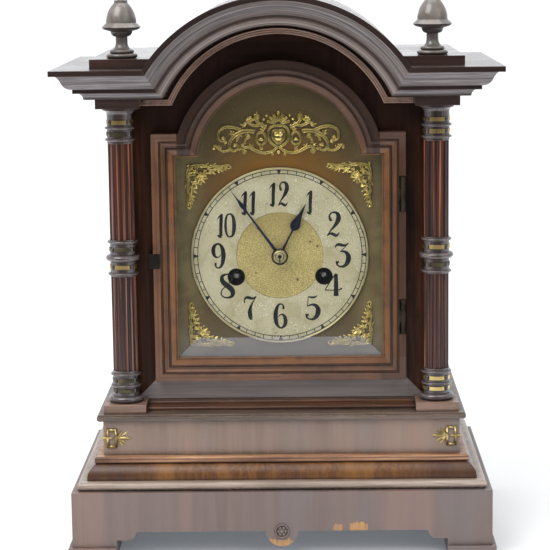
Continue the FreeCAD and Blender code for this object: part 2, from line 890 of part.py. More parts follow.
base_ring = S.column_base_height - S.ring_height * 2
base_path = [Step(0, 0)] + torus_edges(S.column_foot_radius, S.column_foot_height, as_dim(0)) + [
    Step(S.band_radius, S.column_foot_height),
    Step(S.band_radius, base_ring - S.ring_height - S.band_height),
] + torus_edges(S.ring_radius, S.ring_height, base_ring - S.ring_height - S.band_height) + [
    Step(S.band_radius, base_ring - S.band_height),
    Step(S.band_radius, base_ring),
] + torus_edges(S.ring_radius, S.ring_height, base_ring) + [
    Step(S.band_radius, base_ring + S.ring_height),
    Step(S.band_radius, S.column_base_height),
    Step(0, S.column_base_height),
]
node("column_bases", pair("column_base_set", turned("column_base", base_path, (column_x, column_y, base_z))))


def fluted_shaft(name, z, length):
    """Round shaft with hollow flutes down its whole length."""
    shaft = rod(name, column_x, column_y, z, S.shaft_radius, length, UPRIGHT)
    hollow_centre = S.shaft_radius - S.flute_depth + S.flute_radius
    count = int(S.flute_count.value)
    flutes = []
    for number in range(count):
        angle = 2 * math.pi * number / count
        flutes.append(rod("%s_flute_%d" % (name, number), column_x + hollow_centre * math.cos(angle),
                          column_y + hollow_centre * math.sin(angle), z, S.flute_radius, length, UPRIGHT))
    return cut(name + "_fluted", shaft, group(name + "_flutes", *flutes))


lower_shaft = fluted_shaft("lower_shaft", lower_z, S.lower_shaft_length)
upper_shaft = fluted_shaft("upper_shaft", upper_z, S.upper_shaft_length)
node("column_shafts", group("column_shaft_set", lower_shaft, mirror(lower_shaft), upper_shaft,
                            mirror(upper_shaft)))

collar_mid = S.collar_height / 2 - S.collar_torus / 2
collar_path = [Step(0, 0), Step(S.band_radius, 0), Step(S.band_radius, S.ring_height / 2)]
collar_path += torus_edges(S.ring_radius, S.ring_height, S.ring_height / 2)
collar_path += [Step(S.band_radius, S.ring_height * 1.5), Step(S.band_radius, collar_mid)]
collar_path += torus_edges(S.collar_radius, S.collar_torus, collar_mid)
collar_path += [Step(S.band_radius, collar_mid + S.collar_torus),
                Step(S.band_radius, S.collar_height - S.ring_height * 1.5)]
collar_path += torus_edges(S.ring_radius, S.ring_height, S.collar_height - S.ring_height * 1.5)
collar_path += [Step(S.band_radius, S.collar_height - S.ring_height / 2),
                Step(S.band_radius, S.collar_height), Step(0, S.collar_height)]
node("column_collars", pair("column_collar_set", turned("column_collar", collar_path,
                                                        (column_x, column_y, collar_z))))

flare_z = S.ring_height * 3 + S.band_height * 2
flare_round = S.capital_radius - S.band_radius
capital_path = [Step(0, 0), Step(S.band_radius, 0), Step(S.band_radius, S.ring_height)]
capital_path += torus_edges(S.ring_radius, S.ring_height, S.ring_height)
capital_path += [Step(S.band_radius, S.ring_height * 2),
                 Step(S.band_radius, S.ring_height * 2 + S.band_height)]
capital_path += torus_edges(S.ring_radius, S.ring_height, S.ring_height * 2 + S.band_height)
capital_path += [
    Step(S.band_radius, S.ring_height * 3 + S.band_height),
    Step(S.band_radius, S.capital_height - S.capital_flange - flare_round),
    Step(S.capital_radius, S.capital_height - S.capital_flange, flare_round, -1),
    Step(S.capital_radius, S.capital_height),
    Step(0, S.capital_height),
]
node("column_capitals", pair("column_capital_set", turned("column_capital", capital_path,
                                                          (column_x, column_y, capital_z))))

# ---------------------------------------------------------------- frieze, cornice, hood and top

block = box("frieze_block_right", column_x - frieze_half, frieze_front, frieze_z, S.frieze_block,
            face_y - frieze_front, S.frieze_height)
side_frieze = box("side_frieze_right", case_half, face_y, frieze_z,
                  column_x + frieze_half - case_half, back_y - face_y, S.frieze_height)
node("frieze_blocks", group("frieze_block_set", block, mirror(block), side_frieze, mirror(side_frieze)))

cyma_inset = S.crown_step + S.cyma_reach
cove_inset = cyma_inset + S.lower_step + S.cove_reach
hollow_rise = S.cornice_height - S.crown_fillet - S.hollow_drop
cyma_rise = S.cornice_height - S.crown_fillet - S.cyma_drop
lower_fillet_rise = cyma_rise - S.lower_fillet
cornice_profile = [
    Edge(cove_inset, 0),
    Edge(cove_inset - S.cove_reach, lower_fillet_rise, S.cove_radius, -1),
    Edge(cyma_inset, lower_fillet_rise),
    Edge(cyma_inset, cyma_rise),
    Edge(S.crown_step + S.hollow_reach, hollow_rise, S.swell_radius),
    Edge(S.crown_step, S.cornice_height - S.crown_fillet, S.hollow_radius, -1),
    Edge(0, S.cornice_height - S.crown_fillet),
    Edge(0, S.cornice_height),
]


def arch_region(name, centre_z, radius, line_z, width, y, depth):
    """Prism above the line where an arch and a straight run, both that wide, meet in a mitre."""
    line = line_z.value - centre_z.value
    inner_line = line - width.value
    near = math.sqrt((radius.value - width.value) ** 2 - inner_line ** 2)
    far = math.sqrt(radius.value ** 2 - line ** 2)
    focus = radius.value - line
    corners = []
    for share in range(MITRE_FACETS + 1):
        x = near + (far - near) * share / MITRE_FACETS
        corners.append((x, centre_z.value + x ** 2 / (2 * focus) - focus / 2))
    top = centre_z.value + radius.value * 2
    (x_low, z_low), (x_high, z_high) = corners[-2:]
    corners.append((x_high + (top - z_high) * (x_high - x_low) / (z_high - z_low), top))
    outline = [(-x, z) for x, z in reversed(corners)] + corners
    points = [FreeCAD.Vector(x, y.value, z) for x, z in outline]
    face = Part.Face(Part.makePolygon(points + points[:1]))
    return solid_feature(name, face.extrude(FreeCAD.Vector(0, depth.value, 0)))


hood_region = arch_region("hood_region", hood_z, S.hood_radius, case_top,
                          S.cornice_height + S.bead_gap + S.bead_height, cornice_front - 1,
                          face_y - cornice_front + 2)
hood_path = going_down(cornice_profile, lambda inset: cornice_front + inset,
                       S.hood_radius - S.cornice_height)
hood_path += [Step(face_y, S.hood_radius - S.cornice_height), Step(face_y, S.hood_radius)]
hood_ring = swung("hood_ring", hood_path, (0, 0, hood_z))
node("cornice_arch", common("cornice_arch_piece", hood_ring, hood_region))

cornice_block = moulded_board("cornice_block", cornice_half, cornice_front, cornice_z,
                              S.cornice_height, cornice_profile)
case_space = box("case_space", -case_half, face_y, cornice_z, S.case_width, back_y - face_y,
                 S.cornice_height)
node("cornice_wings", cut("cornice_wing_set", cornice_block, case_space, hood_region))

bead_top = S.hood_radius - S.cornice_height - S.bead_gap
bead_reed = S.bead_height / 6
bead_profile = [Edge(S.bead_relief, 0), Edge(bead_reed, 0)]
for number in range(3):
    bead_profile += [Edge(0, bead_reed * (2 * number + 0.5)), Edge(0, bead_reed * (2 * number + 1.5)),
                     Edge(bead_reed, bead_reed * (2 * number + 2))]
bead_profile += [Edge(S.bead_relief, S.bead_height)]
bead_front = face_y - S.bead_relief
bead_end = column_x - frieze_half
bead_run_path = going_down(bead_profile, lambda inset: bead_front + inset,
                           cornice_z - S.bead_gap - S.bead_height)
bead_run = pad("bead_run", "YZ_Plane", bead_run_path, bead_end, (0, 0, 0))
bead_ring_path = going_down(bead_profile, lambda inset: bead_front + inset, bead_top - S.bead_height)
bead_ring = swung("bead_ring", bead_ring_path, (0, 0, hood_z))
bead_side = cut("bead_side", bead_run, hood_region)
node("frieze_bead", group("frieze_bead_set", common("bead_arch", bead_ring, hood_region), bead_side,
                          mirror(bead_side)))

roof_reach = arch_reach(S.hood_radius, case_top, hood_z)
roof_inner_reach = arch_reach(roof_inner, case_top, hood_z)
roof_path = [
    Step(roof_inner_reach, case_top, roof_inner, -1),
    Step(roof_reach, case_top),
    Step(-roof_reach, case_top, S.hood_radius),
    Step(-roof_inner_reach, case_top),
]
node("arch_roof", front_plate("roof_shell", roof_path, face_y, back_y - face_y))

board_half = cornice_half - S.finial_board_inset
board_front = cornice_front + S.finial_board_inset
board_inner = S.hood_radius / 2
board_blank = box("finial_board_blank", board_inner, board_front, case_top, board_half - board_inner,
                  back_y - board_front, S.finial_board)
hood_clear = rod("hood_clear", 0, board_front - 1, hood_z, S.hood_radius + S.hood_gap,
                 back_y - board_front + 2)
node("finial_boards", pair("finial_board_set", cut("finial_board_cut", board_blank, hood_clear)))

finial_z = case_top + S.finial_board
ring_top = S.finial_foot + S.finial_ring
neck_top = ring_top + S.finial_neck
bowl_top = neck_top + S.finial_bowl
rim_top = bowl_top + S.finial_rim
dome_top = rim_top + S.finial_dome
tip_top = dome_top + S.finial_tip
rim_mid = bowl_top + S.finial_rim / 2
neck_spread = S.finial_flare_radius - S.finial_neck_radius
flare_round = (neck_spread * neck_spread + S.finial_flare * S.finial_flare) / (neck_spread * 2)
bowl_round = S.finial_bowl_radius - S.finial_neck_radius
dome_round = (S.finial_dome * S.finial_dome
              + (S.finial_dome_radius - S.finial_tip_radius) * (S.finial_dome_radius - S.finial_tip_radius)
              ) / ((S.finial_dome_radius - S.finial_tip_radius) * 2)
collar_top = dome_top + S.finial_tip / 5
finial_path = [Step(0, 0)] + torus_edges(S.finial_foot_radius, S.finial_foot, as_dim(0))
finial_path += [Step(S.finial_ring_radius - S.finial_ring / 2, S.finial_foot)]
finial_path += torus_edges(S.finial_ring_radius, S.finial_ring, S.finial_foot)[1:]
finial_path += [
    Step(S.finial_flare_radius, ring_top),
    Step(S.finial_neck_radius, ring_top + S.finial_flare, flare_round, -1),
    Step(S.finial_neck_radius, neck_top),
    Step(S.finial_bowl_radius, bowl_top, root(bowl_round * bowl_round + S.finial_bowl * S.finial_bowl)
         * 0.75),
    Step(S.finial_rim_radius - S.finial_rim / 4, bowl_top + S.finial_rim / 4),
    Step(S.finial_rim_radius, rim_mid),
    Step(S.finial_dome_radius, rim_top),
    Step(S.finial_tip_radius, dome_top, dome_round),
    Step(S.finial_tip_radius, collar_top),
    Step(S.finial_tip_radius / 2, collar_top),
    Step(0, tip_top),
]
finial = turned("finial", finial_path, (column_x - S.finial_inset, column_y, finial_z))
node("finials", pair("finial_set", finial))

# ---------------------------------------------------------------- door

rebate = S.door_rail - S.glass_lap
glass_front_h = S.glass_seat + S.glass_sheet
lip_h = glass_front_h + S.sight_lip
reed_d = S.door_flat + S.door_reed * 2
bead_d = reed_d + S.door_cove_reach
slope_d = bead_d + S.door_bead * 2
edge_d = slope_d + S.door_slope_reach
reed_h = S.door_thickness - S.door_quirk
flat_h = reed_h - S.door_cove_drop
rail_section = [
    Edge(0, 0),
    Edge(rebate, 0),
    Edge(rebate, glass_front_h),
    Edge(S.door_rail, glass_front_h),
    Edge(S.door_rail, lip_h),
    Edge(edge_d, lip_h),
    Edge(edge_d, flat_h - S.door_slope_drop),
    Edge(slope_d, flat_h),
    Edge(slope_d - S.door_bead / 2, flat_h + S.door_bead),
    Edge(bead_d + S.door_bead / 2, flat_h + S.door_bead),
    Edge(bead_d, flat_h),
    Edge(reed_d, reed_h, S.door_cove_reach * 0.8, -1),
    Edge(reed_d - S.door_reed / 2, reed_h + S.door_reed),
    Edge(S.door_flat + S.door_reed / 2, reed_h + S.door_reed),
    Edge(S.door_flat, reed_h),
    Edge(S.door_flat, S.door_thickness),
    Edge(0, S.door_thickness),
]


def rail_path(place, flipped=False):
    """Rail section carried into a sketch: place gives x and y for a depth and a height."""
    steps = []
    for edge in rail_section:
        x, y = place(edge.inset, edge.rise)
        steps.append(Step(x, y, edge.radius, -edge.bulge if flipped else edge.bulge))
    return steps


mitre_half = door_half - S.door_rail - 1
mitre_bottom = door_z + S.door_rail + 1
mitre_top = shoulder_z - S.door_rail - 1
rail_run = pad("rail_run", "YZ_Plane", rail_path(lambda d, h: (door_back - h, door_z + d)),
               door_half * 2 + 2, (-door_half - 1, 0, 0))
stile_run = pad("stile_run", "XY_Plane", rail_path(lambda d, h: (door_half - d, door_back - h)),
                S.door_shoulder + 2, (0, 0, door_z - 1))
shoulder_run = pad("shoulder_run", "YZ_Plane",
                   rail_path(lambda d, h: (door_back - h, shoulder_z - d), True), door_half + 1)
arch_run = swung("arch_run", rail_path(lambda d, h: (door_back - h, S.door_arch_radius - d), True),
                 (0, 0, arch_z))
door_region = arch_region("door_region", arch_z, S.door_arch_radius, shoulder_z, S.door_rail,
                          door_front - 1, S.door_thickness + 2)


def mitre_block(name, path):
    """Prism that trims one rail of the door to its mitres."""
    return front_plate(name, path, door_front - 1, S.door_thickness + 2)


rail_block = mitre_block("rail_block", [
    Step(-door_half - 1, door_z - 1), Step(door_half + 1, door_z - 1),
    Step(mitre_half, mitre_bottom), Step(-mitre_half, mitre_bottom)])
stile_block = mitre_block("stile_block", [
    Step(door_half + 1, door_z - 1), Step(door_half + 1, shoulder_z + 1),
    Step(mitre_half, mitre_top), Step(mitre_half, mitre_bottom)])
shoulder_block = mitre_block("shoulder_block", [
    Step(door_half + 1, shoulder_z + 1), Step(0, shoulder_z + 1),
    Step(0, mitre_top), Step(mitre_half, mitre_top)])
door_stile = common("door_stile", stile_run, stile_block)
door_shoulder = cut("door_shoulder", common("shoulder_piece", shoulder_run, shoulder_block), door_region)
notches = [box("hinge_notch_%d" % number, door_half - S.hinge_notch, door_front - 1,
               level - S.hinge_length / 2 - S.hinge_end_gap, S.hinge_notch + 1, S.door_thickness + 2,
               S.hinge_length + S.hinge_end_gap * 2)
           for number, level in enumerate(hinge_heights)]
catch_z = door_z + S.catch_height - S.catch_length / 2
catch_notch = box("catch_notch_space", -door_half - 1, door_front - 1, catch_z - S.catch_gap,
                  S.catch_notch + 1, S.door_thickness + 2, S.catch_length + S.catch_gap * 2)
node("door_frame", group(
    "door_frame_set", common("door_bottom_rail", rail_run, rail_block),
    cut("hinge_stile", door_stile, *notches), cut("catch_stile", mirror(door_stile), catch_notch),
    door_shoulder, mirror(door_shoulder), common("door_arch", arch_run, door_region)))

glass_outline = arched_outline(rebate + S.glass_gap)
node("door_glass", front_plate("glass_pane", glass_outline, door_back - glass_front_h, S.glass_sheet))
node("glass_beads", front_plate("glass_bead", [glass_outline, arched_outline(S.door_rail)],
                                door_back - S.glass_seat, S.bead_strip))


def upright_rod(name, x, y, z, radius, length):
    """Cylinder standing on a point."""
    return rod(name, x, y, z, radius, length, UPRIGHT)


third_length = S.hinge_length / 3
knuckle_length = third_length - S.hinge_end_gap * 2
door_leaves = []
case_leaves = []
for number, level in enumerate(hinge_heights):
    low = level - S.hinge_length / 2
    tag = "hinge_%d_" % number
    wing = box(tag + "wing", door_half - S.hinge_notch, door_front, low, S.hinge_leaf,
               S.door_thickness, S.hinge_length)
    bridge = box(tag + "bridge", door_half - S.hinge_notch, door_front - S.hinge_leaf / 2,
                 level - knuckle_length / 2, S.hinge_notch - S.hinge_edge, S.hinge_leaf, knuckle_length)
    middle = upright_rod(tag + "middle", hinge_x, door_front, level - knuckle_length / 2,
                         S.knuckle_radius, knuckle_length)
    running_bore = upright_rod(tag + "running_bore", hinge_x, door_front, low,
                               S.hinge_pin_radius + S.hinge_clearance, S.hinge_length)
    door_leaves.append(cut(tag + "door_leaf", fuse(tag + "door_leaf_blank", wing, bridge, middle),
                           running_bore))
    web = box(tag + "web", hinge_x - S.hinge_leaf / 2, door_front, low, S.hinge_leaf,
              face_y - door_front + S.hinge_mortise, S.hinge_length)
    window = box(tag + "window", hinge_x - S.knuckle_radius, door_front - S.knuckle_radius,
                 level - third_length / 2, S.knuckle_radius * 2,
                 S.knuckle_radius * 2 + S.hinge_end_gap * 2, third_length)
    lower = upright_rod(tag + "lower", hinge_x, door_front, low, S.knuckle_radius, third_length)
    upper = upright_rod(tag + "upper", hinge_x, door_front, level + third_length / 2,
                        S.knuckle_radius, third_length)
    pin_bore = upright_rod(tag + "pin_bore", hinge_x, door_front, low,
                           S.hinge_pin_radius + S.glass_gap, S.hinge_length)
    pin = upright_rod(tag + "pin", hinge_x, door_front, low, S.hinge_pin_radius, S.hinge_length)
    case_leaf = cut(tag + "case_leaf", fuse(tag + "case_leaf_blank", cut(tag + "web_cut", web, window),
                                            lower, upper), pin_bore)
    case_leaves += [case_leaf, pin]
node("door_hinge_leaves", group("door_leaf_set", *door_leaves))

catch_x = S.catch_notch - S.catch_gap - S.catch_width - door_half
catch_plate = box("catch_plate", catch_x, door_front, catch_z, S.catch_width, S.catch_sheet,
                  S.catch_length)
catch_stem = box("catch_stem", catch_x, door_front, catch_z, S.catch_width - S.catch_notch,
                 face_y - door_front, S.catch_length)
node("door_catch", fuse("catch", catch_plate, catch_stem))

# ---------------------------------------------------------------- dial and hands

dial_z = case_z + S.dial_centre
dial_y = face_y + S.frame_board
winding_x = S.winding_spread / 2
winding_z = dial_z - S.winding_drop
dial_tools_y = dial_y - S.dial_bore_depth / 2
centre_bore = rod("centre_bore", 0, dial_tools_y, dial_z, S.dial_bore, S.dial_bore_depth)
key_hole = rod("key_hole", winding_x, dial_tools_y, winding_z, S.winding_hole, S.dial_bore_depth)
key_hole_left = mirror(key_hole)
dial_blank = front_plate("dial_blank", arched_outline(S.door_lap - S.dial_lap), dial_y, S.dial_sheet)
node("dial_plate", cut("dial_drilled", dial_blank, centre_bore, key_hole, key_hole_left))

chapter_y = dial_y - S.chapter_sheet
chapter_blank = rod("chapter_blank", 0, chapter_y, dial_z, S.chapter_outer, S.chapter_sheet)
chapter_void = rod("chapter_void", 0, chapter_y, dial_z, S.chapter_inner, S.chapter_sheet)
node("chapter_ring", cut("chapter_cut", chapter_blank, chapter_void, key_hole, key_hole_left))
disc_blank = rod("disc_blank", 0, dial_y - S.disc_sheet, dial_z, S.chapter_inner - S.disc_gap,
                 S.disc_sheet)
node("centre_disc", cut("disc_cut", disc_blank, centre_bore, key_hole, key_hole_left))

ring_clear = S.chapter_outer + S.spandrel_gap
arm_x = S.spandrel_corner - S.spandrel_span
arm_z = S.spandrel_corner - S.spandrel_rise
spandrel_path = [
    Step(S.spandrel_corner, arm_z),
    Step(S.spandrel_corner, S.spandrel_corner),
    Step(arm_x, S.spandrel_corner),
    Step(arm_x, root(ring_clear * ring_clear - arm_x * arm_x)),
    Step(root(ring_clear * ring_clear - arm_z * arm_z), arm_z, ring_clear, -1),
]
spandrel_y = dial_y - S.spandrel_relief


def spandrel(name, quarter):
    """Corner ornament turned into its quarter of the dial."""
    piece = pad(name, "XZ_Plane", spandrel_path, S.spandrel_relief, backwards=True)
    return put(piece, 0, spandrel_y, dial_z, FreeCAD.Rotation(FreeCAD.Vector(0, 1, 0), quarter * 90))


upper_spandrel = spandrel("upper_spandrel", 0)
lower_blank = pad("lower_spandrel", "XZ_Plane",
                  [Step(step.x, -step.y, step.radius, -step.turn) for step in spandrel_path],
                  S.spandrel_relief, (0, spandrel_y, dial_z), backwards=True)
node("corner_spandrels", group("spandrel_set", upper_spandrel, mirror(upper_spandrel), lower_blank,
                               mirror(lower_blank)))

crest_z = dial_z + S.crest_rise
crest_half = S.crest_width / 2
crest_rise = S.crest_height / 2
crest_path = [
    Step(-crest_half, -crest_rise / 2),
    Step(-S.crest_boss, -crest_rise),
    Step(S.crest_boss, -crest_rise),
    Step(crest_half, -crest_rise / 2),
    Step(crest_half - S.crest_wing, crest_rise / 3),
    Step(S.crest_boss * 2, crest_rise / 4),
    Step(S.crest_boss, crest_rise),
    Step(-S.crest_boss, crest_rise),
    Step(-S.crest_boss * 2, crest_rise / 4),
    Step(S.crest_wing - crest_half, crest_rise / 3),
]
node("dial_crest", pad("crest_plate", "XZ_Plane", crest_path, S.spandrel_relief,
                       (0, spandrel_y, crest_z), backwards=True))

minute_angle = S.minutes_shown * 6
hour_angle = (S.hours_shown + S.minutes_shown / 60) * 30
hour_hand_y = chapter_y - S.hour_hand_gap - S.hand_sheet
minute_hand_y = hour_hand_y - S.hand_spacing


def both_sides(points):
    """Outline of a hand from the points of its right edge, foot first."""
    right = [Step(x, z) for x, z in points]
    left = [Step(-step.x, step.y) for step in reversed(right) if step.x.value > 0]
    return right + left


def hand(name, points, y, angle, bore):
    """Hand with its boss, turned clockwise by its angle about the dial's centre."""
    blade = pad(name + "_blade", "XZ_Plane", both_sides(points), S.hand_sheet, (0, y, dial_z),
                backwards=True)
    blade.Placement = FreeCAD.Placement(blade.Placement.Base,
                                        FreeCAD.Rotation(FreeCAD.Vector(0, 1, 0), angle.value))
    bind(blade, "Placement.Rotation.Angle", angle)
    boss = rod(name + "_boss", 0, y, dial_z, S.hand_boss, S.hand_sheet)
    hole = rod(name + "_bore", 0, y, dial_z, bore, S.hand_sheet)
    return cut(name + "_cut", fuse(name + "_blank", blade, boss), hole)


spade_top = S.hour_spade_start + S.hour_spade_length
hour_points = [
    (S.hand_stem, S.hand_boss / 2),
    (S.hand_stem * 0.7, S.hour_spade_start),
    (S.hour_spade_width / 2, S.hour_spade_start + S.hour_spade_length * 0.3),
    (S.hour_spade_width * 0.42, S.hour_spade_start + S.hour_spade_length * 0.55),
    (S.hand_stem * 0.7, spade_top),
    (as_dim(0), S.hour_hand_length),
]
minute_points = [
    (S.hand_stem, S.hand_boss / 2),
    (S.hand_stem * 0.5, S.minute_leaf_centre - S.minute_leaf_length),
    (S.minute_leaf_width / 2, S.minute_leaf_centre),
    (S.hand_stem * 0.35, S.minute_leaf_centre + S.minute_leaf_length),
    (as_dim(0), S.minute_hand_length),
]
node("hour_hand", hand("hour", hour_points, hour_hand_y, hour_angle, S.hour_pipe_radius + S.disc_gap))
node("minute_hand", hand("minute", minute_points, minute_hand_y, minute_angle,
                         S.cannon_radius + S.disc_gap))

nut_path = [
    Step(0, 0),
    Step(S.nut_radius, 0),
    Step(S.nut_radius, S.nut_height / 3),
    Step(S.nut_radius - S.nut_height / 3, S.nut_height * 2 / 3, S.nut_height / 3),
    Step(S.hand_stem * 2, S.nut_height),
    Step(0, S.nut_height),
]
hand_nut = turned("nut_turning", nut_path)
put(hand_nut, 0, minute_hand_y, dial_z, FreeCAD.Rotation(FreeCAD.Vector(1, 0, 0), 90))
node("hand_nut", hand_nut)

# ---------------------------------------------------------------- movement

plate_y = dial_y + S.dial_sheet + S.motion_space
train_y = plate_y + S.plate_sheet
rear_plate_y = train_y + S.plate_gap
rear_face_y = rear_plate_y + S.plate_sheet


def meeting(near, near_reach, far, far_reach, side):
    """Point at the two distances from two points, on the given side of the line between them."""
    dx, dz = far[0] - near[0], far[1] - near[1]
    square = dx * dx + dz * dz
    along = (near_reach * near_reach - far_reach * far_reach + square) / (square * 2)
    across = root(near_reach * near_reach / square - along * along) * side
    return near[0] + dx * along - dz * across, near[1] + dz * along + dx * across


def centres(module, wheel_teeth, pinion_teeth):
    """Distance between the arbors of a wheel and the pinion that it meets."""
    return module * (wheel_teeth + pinion_teeth) / 2


motion_reach = centres(S.motion_module, S.minute_wheel_teeth, S.cannon_teeth)
hour_module = motion_reach * 2 / (S.minute_pinion_teeth + S.hour_wheel_teeth)
centre_at = (as_dim(0), as_dim(0))
minute_at = (as_dim(0), -motion_reach)
going_at = (winding_x, -S.winding_drop)
strike_at = (-winding_x, -S.winding_drop)
escape_at = (as_dim(0), S.escape_rise)
anchor_at = (as_dim(0), S.anchor_rise)
hammer_at = (-S.hammer_spread, -S.hammer_drop)
second_at = meeting(centre_at, centres(S.second_module, S.second_wheel_teeth, S.centre_pinion_teeth),
                    going_at, centres(S.barrel_module, S.barrel_teeth, S.second_pinion_teeth), 1)
third_at = meeting(centre_at, centres(S.third_module, S.centre_wheel_teeth, S.third_pinion_teeth),
                   escape_at, centres(S.escape_module, S.third_wheel_teeth, S.escape_pinion_teeth), 1)


def bore(name, at, y, radius):
    """Hole through a plate at a place measured from the dial's centre."""
    return rod(name, at[0], y, dial_z + at[1], radius, S.plate_sheet)


pivot_bore = S.pivot_radius + S.running_clearance
front_bores = [
    bore("front_bore_going", going_at, plate_y, S.winding_arbor_radius + S.running_clearance),
    bore("front_bore_strike", strike_at, plate_y, S.winding_arbor_radius + S.running_clearance),
    bore("front_bore_centre", centre_at, plate_y, S.centre_arbor_radius + S.running_clearance),
    bore("front_bore_second", second_at, plate_y, pivot_bore),
    bore("front_bore_third", third_at, plate_y, pivot_bore),
    bore("front_bore_escape", escape_at, plate_y, pivot_bore),
    bore("front_bore_anchor", anchor_at, plate_y, pivot_bore),
    bore("front_bore_hammer", hammer_at, plate_y, pivot_bore),
]
arbor_bore = S.arbor_radius + S.running_clearance
rear_bores = [
    bore("rear_bore_going", going_at, rear_plate_y, S.winding_arbor_radius + S.running_clearance),
    bore("rear_bore_strike", strike_at, rear_plate_y, S.winding_arbor_radius + S.running_clearance),
    bore("rear_bore_centre", centre_at, rear_plate_y, pivot_bore),
    bore("rear_bore_second", second_at, rear_plate_y, pivot_bore),
    bore("rear_bore_third", third_at, rear_plate_y, pivot_bore),
    bore("rear_bore_escape", escape_at, rear_plate_y, pivot_bore),
    bore("rear_bore_anchor", anchor_at, rear_plate_y, arbor_bore),
    bore("rear_bore_hammer", hammer_at, rear_plate_y, arbor_bore),
]
plate_low = dial_z - S.plate_below
plate_tall = S.plate_above + S.plate_below
front_plate_blank = box("front_plate_blank", -S.plate_width / 2, plate_y, plate_low, S.plate_width,
                        S.plate_sheet, plate_tall)
rear_plate_blank = box("rear_plate_blank", -S.plate_width / 2, rear_plate_y, plate_low, S.plate_width,
                       S.plate_sheet, plate_tall)
pillar_x = S.plate_width / 2 - S.pillar_inset
upper_pillar = rod("upper_pillar", pillar_x, train_y, dial_z + S.plate_above - S.pillar_inset,
                   S.pillar_radius, S.plate_gap)
lower_pillar = rod("lower_pillar", pillar_x, train_y, plate_low + S.pillar_inset, S.pillar_radius,
                   S.plate_gap)
minute_stud = rod("minute_stud", minute_at[0], plate_y - S.motion_wheel * 5, dial_z + minute_at[1],
                  S.centre_arbor_radius, S.motion_wheel * 5)
cock_z = dial_z + S.anchor_rise + S.crutch_gap
pendulum_y = rear_face_y + S.pendulum_gap
cock_flange = box("cock_flange", -S.cock_width / 2, rear_face_y, cock_z, S.cock_width, S.cock_sheet,
                  S.plate_above - S.anchor_rise - S.crutch_gap)
cock_shelf = box("cock_shelf", -S.cock_width / 2, rear_face_y, cock_z, S.cock_width,
                 S.pendulum_gap + S.crutch_gap, S.cock_sheet)
node("movement_plates", group(
    "movement_frame_set", cut("front_plate_drilled", front_plate_blank, *front_bores),
    cut("rear_plate_drilled", rear_plate_blank, *rear_bores), upper_pillar, mirror(upper_pillar),
    lower_pillar, mirror(lower_pillar), minute_stud, fuse("cock", cock_flange, cock_shelf)))
node("movement_seat", box("seat_plank", -inner_half, plate_y - S.seat_board, plate_low - S.seat_board,
                          inner_half * 2, rear_face_y - plate_y + S.seat_board + S.plate_sheet,
                          S.seat_board))


def flat_ring(points, y, width):
    """Slab along +Y from points in X and Z."""
    corners = [FreeCAD.Vector(x, y, z) for x, z in points]
    face = Part.Face(Part.makePolygon(corners + corners[:1]))
    return face.extrude(FreeCAD.Vector(0, width, 0))


def gear(teeth, module, y, width, phase=0.0):
    """Toothed disc about its own Y axis, one tooth at phase degrees clockwise of the top."""
    count = int(round(float(teeth)))
    pitch = 360.0 / count
    radius = float(module) * count / 2.0
    tip, foot = radius + 0.8 * float(module), radius - 1.2 * float(module)
    points = []
    for number in range(count):
        for share, reach in ((-0.30, foot), (-0.10, tip), (0.10, tip), (0.30, foot)):
            angle = math.radians(phase + (number + share) * pitch)
            points.append((reach * math.sin(angle), reach * math.cos(angle)))
    return flat_ring(points, float(y), float(width))


def spindle(radius, start, end):
    """Round bar about the Y axis from one depth to another."""
    return Part.makeCylinder(float(radius), float(end) - float(start), FreeCAD.Vector(0, float(start), 0),
                             FreeCAD.Vector(0, 1, 0))


def crossings(reach, hole, count, y, width):
    """Round windows that lighten a wheel."""
    windows = []
    for number in range(count):
        angle = 2 * math.pi * number / count
        centre = FreeCAD.Vector(reach * math.sin(angle), y - 1, reach * math.cos(angle))
        windows.append(Part.makeCylinder(hole, width + 2, centre, FreeCAD.Vector(0, 1, 0)))
    return windows


def mesh_phase(own_at, own_teeth, phase, other_at, other_teeth):
    """Phase of the other gear that sets its teeth between those of the first."""
    dx = float(other_at[0]) - float(own_at[0])
    dz = float(other_at[1]) - float(own_at[1])
    bearing = math.degrees(math.atan2(dx, dz))
    share = (bearing - phase) / (360.0 / float(own_teeth)) % 1.0
    return bearing + 180.0 - (0.5 - share) * 360.0 / float(other_teeth)


def arbor_piece(label, at, shape):
    """Wheel work fused into one solid and set on its arbor's line."""
    item = solid_feature(label + "_solid", shape)
    item.Placement.Base = FreeCAD.Vector(float(at[0]), 0, dial_z.value + float(at[1]))
    return node(label, item)


def between_plates(radius, front_radius=None, rear_radius=None):
    """Arbor with a pivot in each plate."""
    shake = S.end_shake
    middle = spindle(radius, train_y + shake, rear_plate_y - shake)
    front = spindle(front_radius or S.pivot_radius, plate_y, train_y + shake)
    rear = spindle(rear_radius or S.pivot_radius, rear_plate_y - shake, rear_face_y)
    return middle.multiFuse([front, rear])


def wheel(teeth, module, level, phase, holes=5):
    """Crossed-out wheel at a level behind the front plate."""
    y = train_y.value + level
    blank = gear(teeth, module, y, S.train_wheel, phase)
    radius = float(teeth) * float(module) / 2.0
    return blank.cut(crossings(radius * 0.58, radius * 0.24, holes, y, S.train_wheel.value))


def pinion(teeth, module, level, width, phase):
    """Pinion at a level behind the front plate."""
    return gear(teeth, module, train_y.value + level, width, phase)


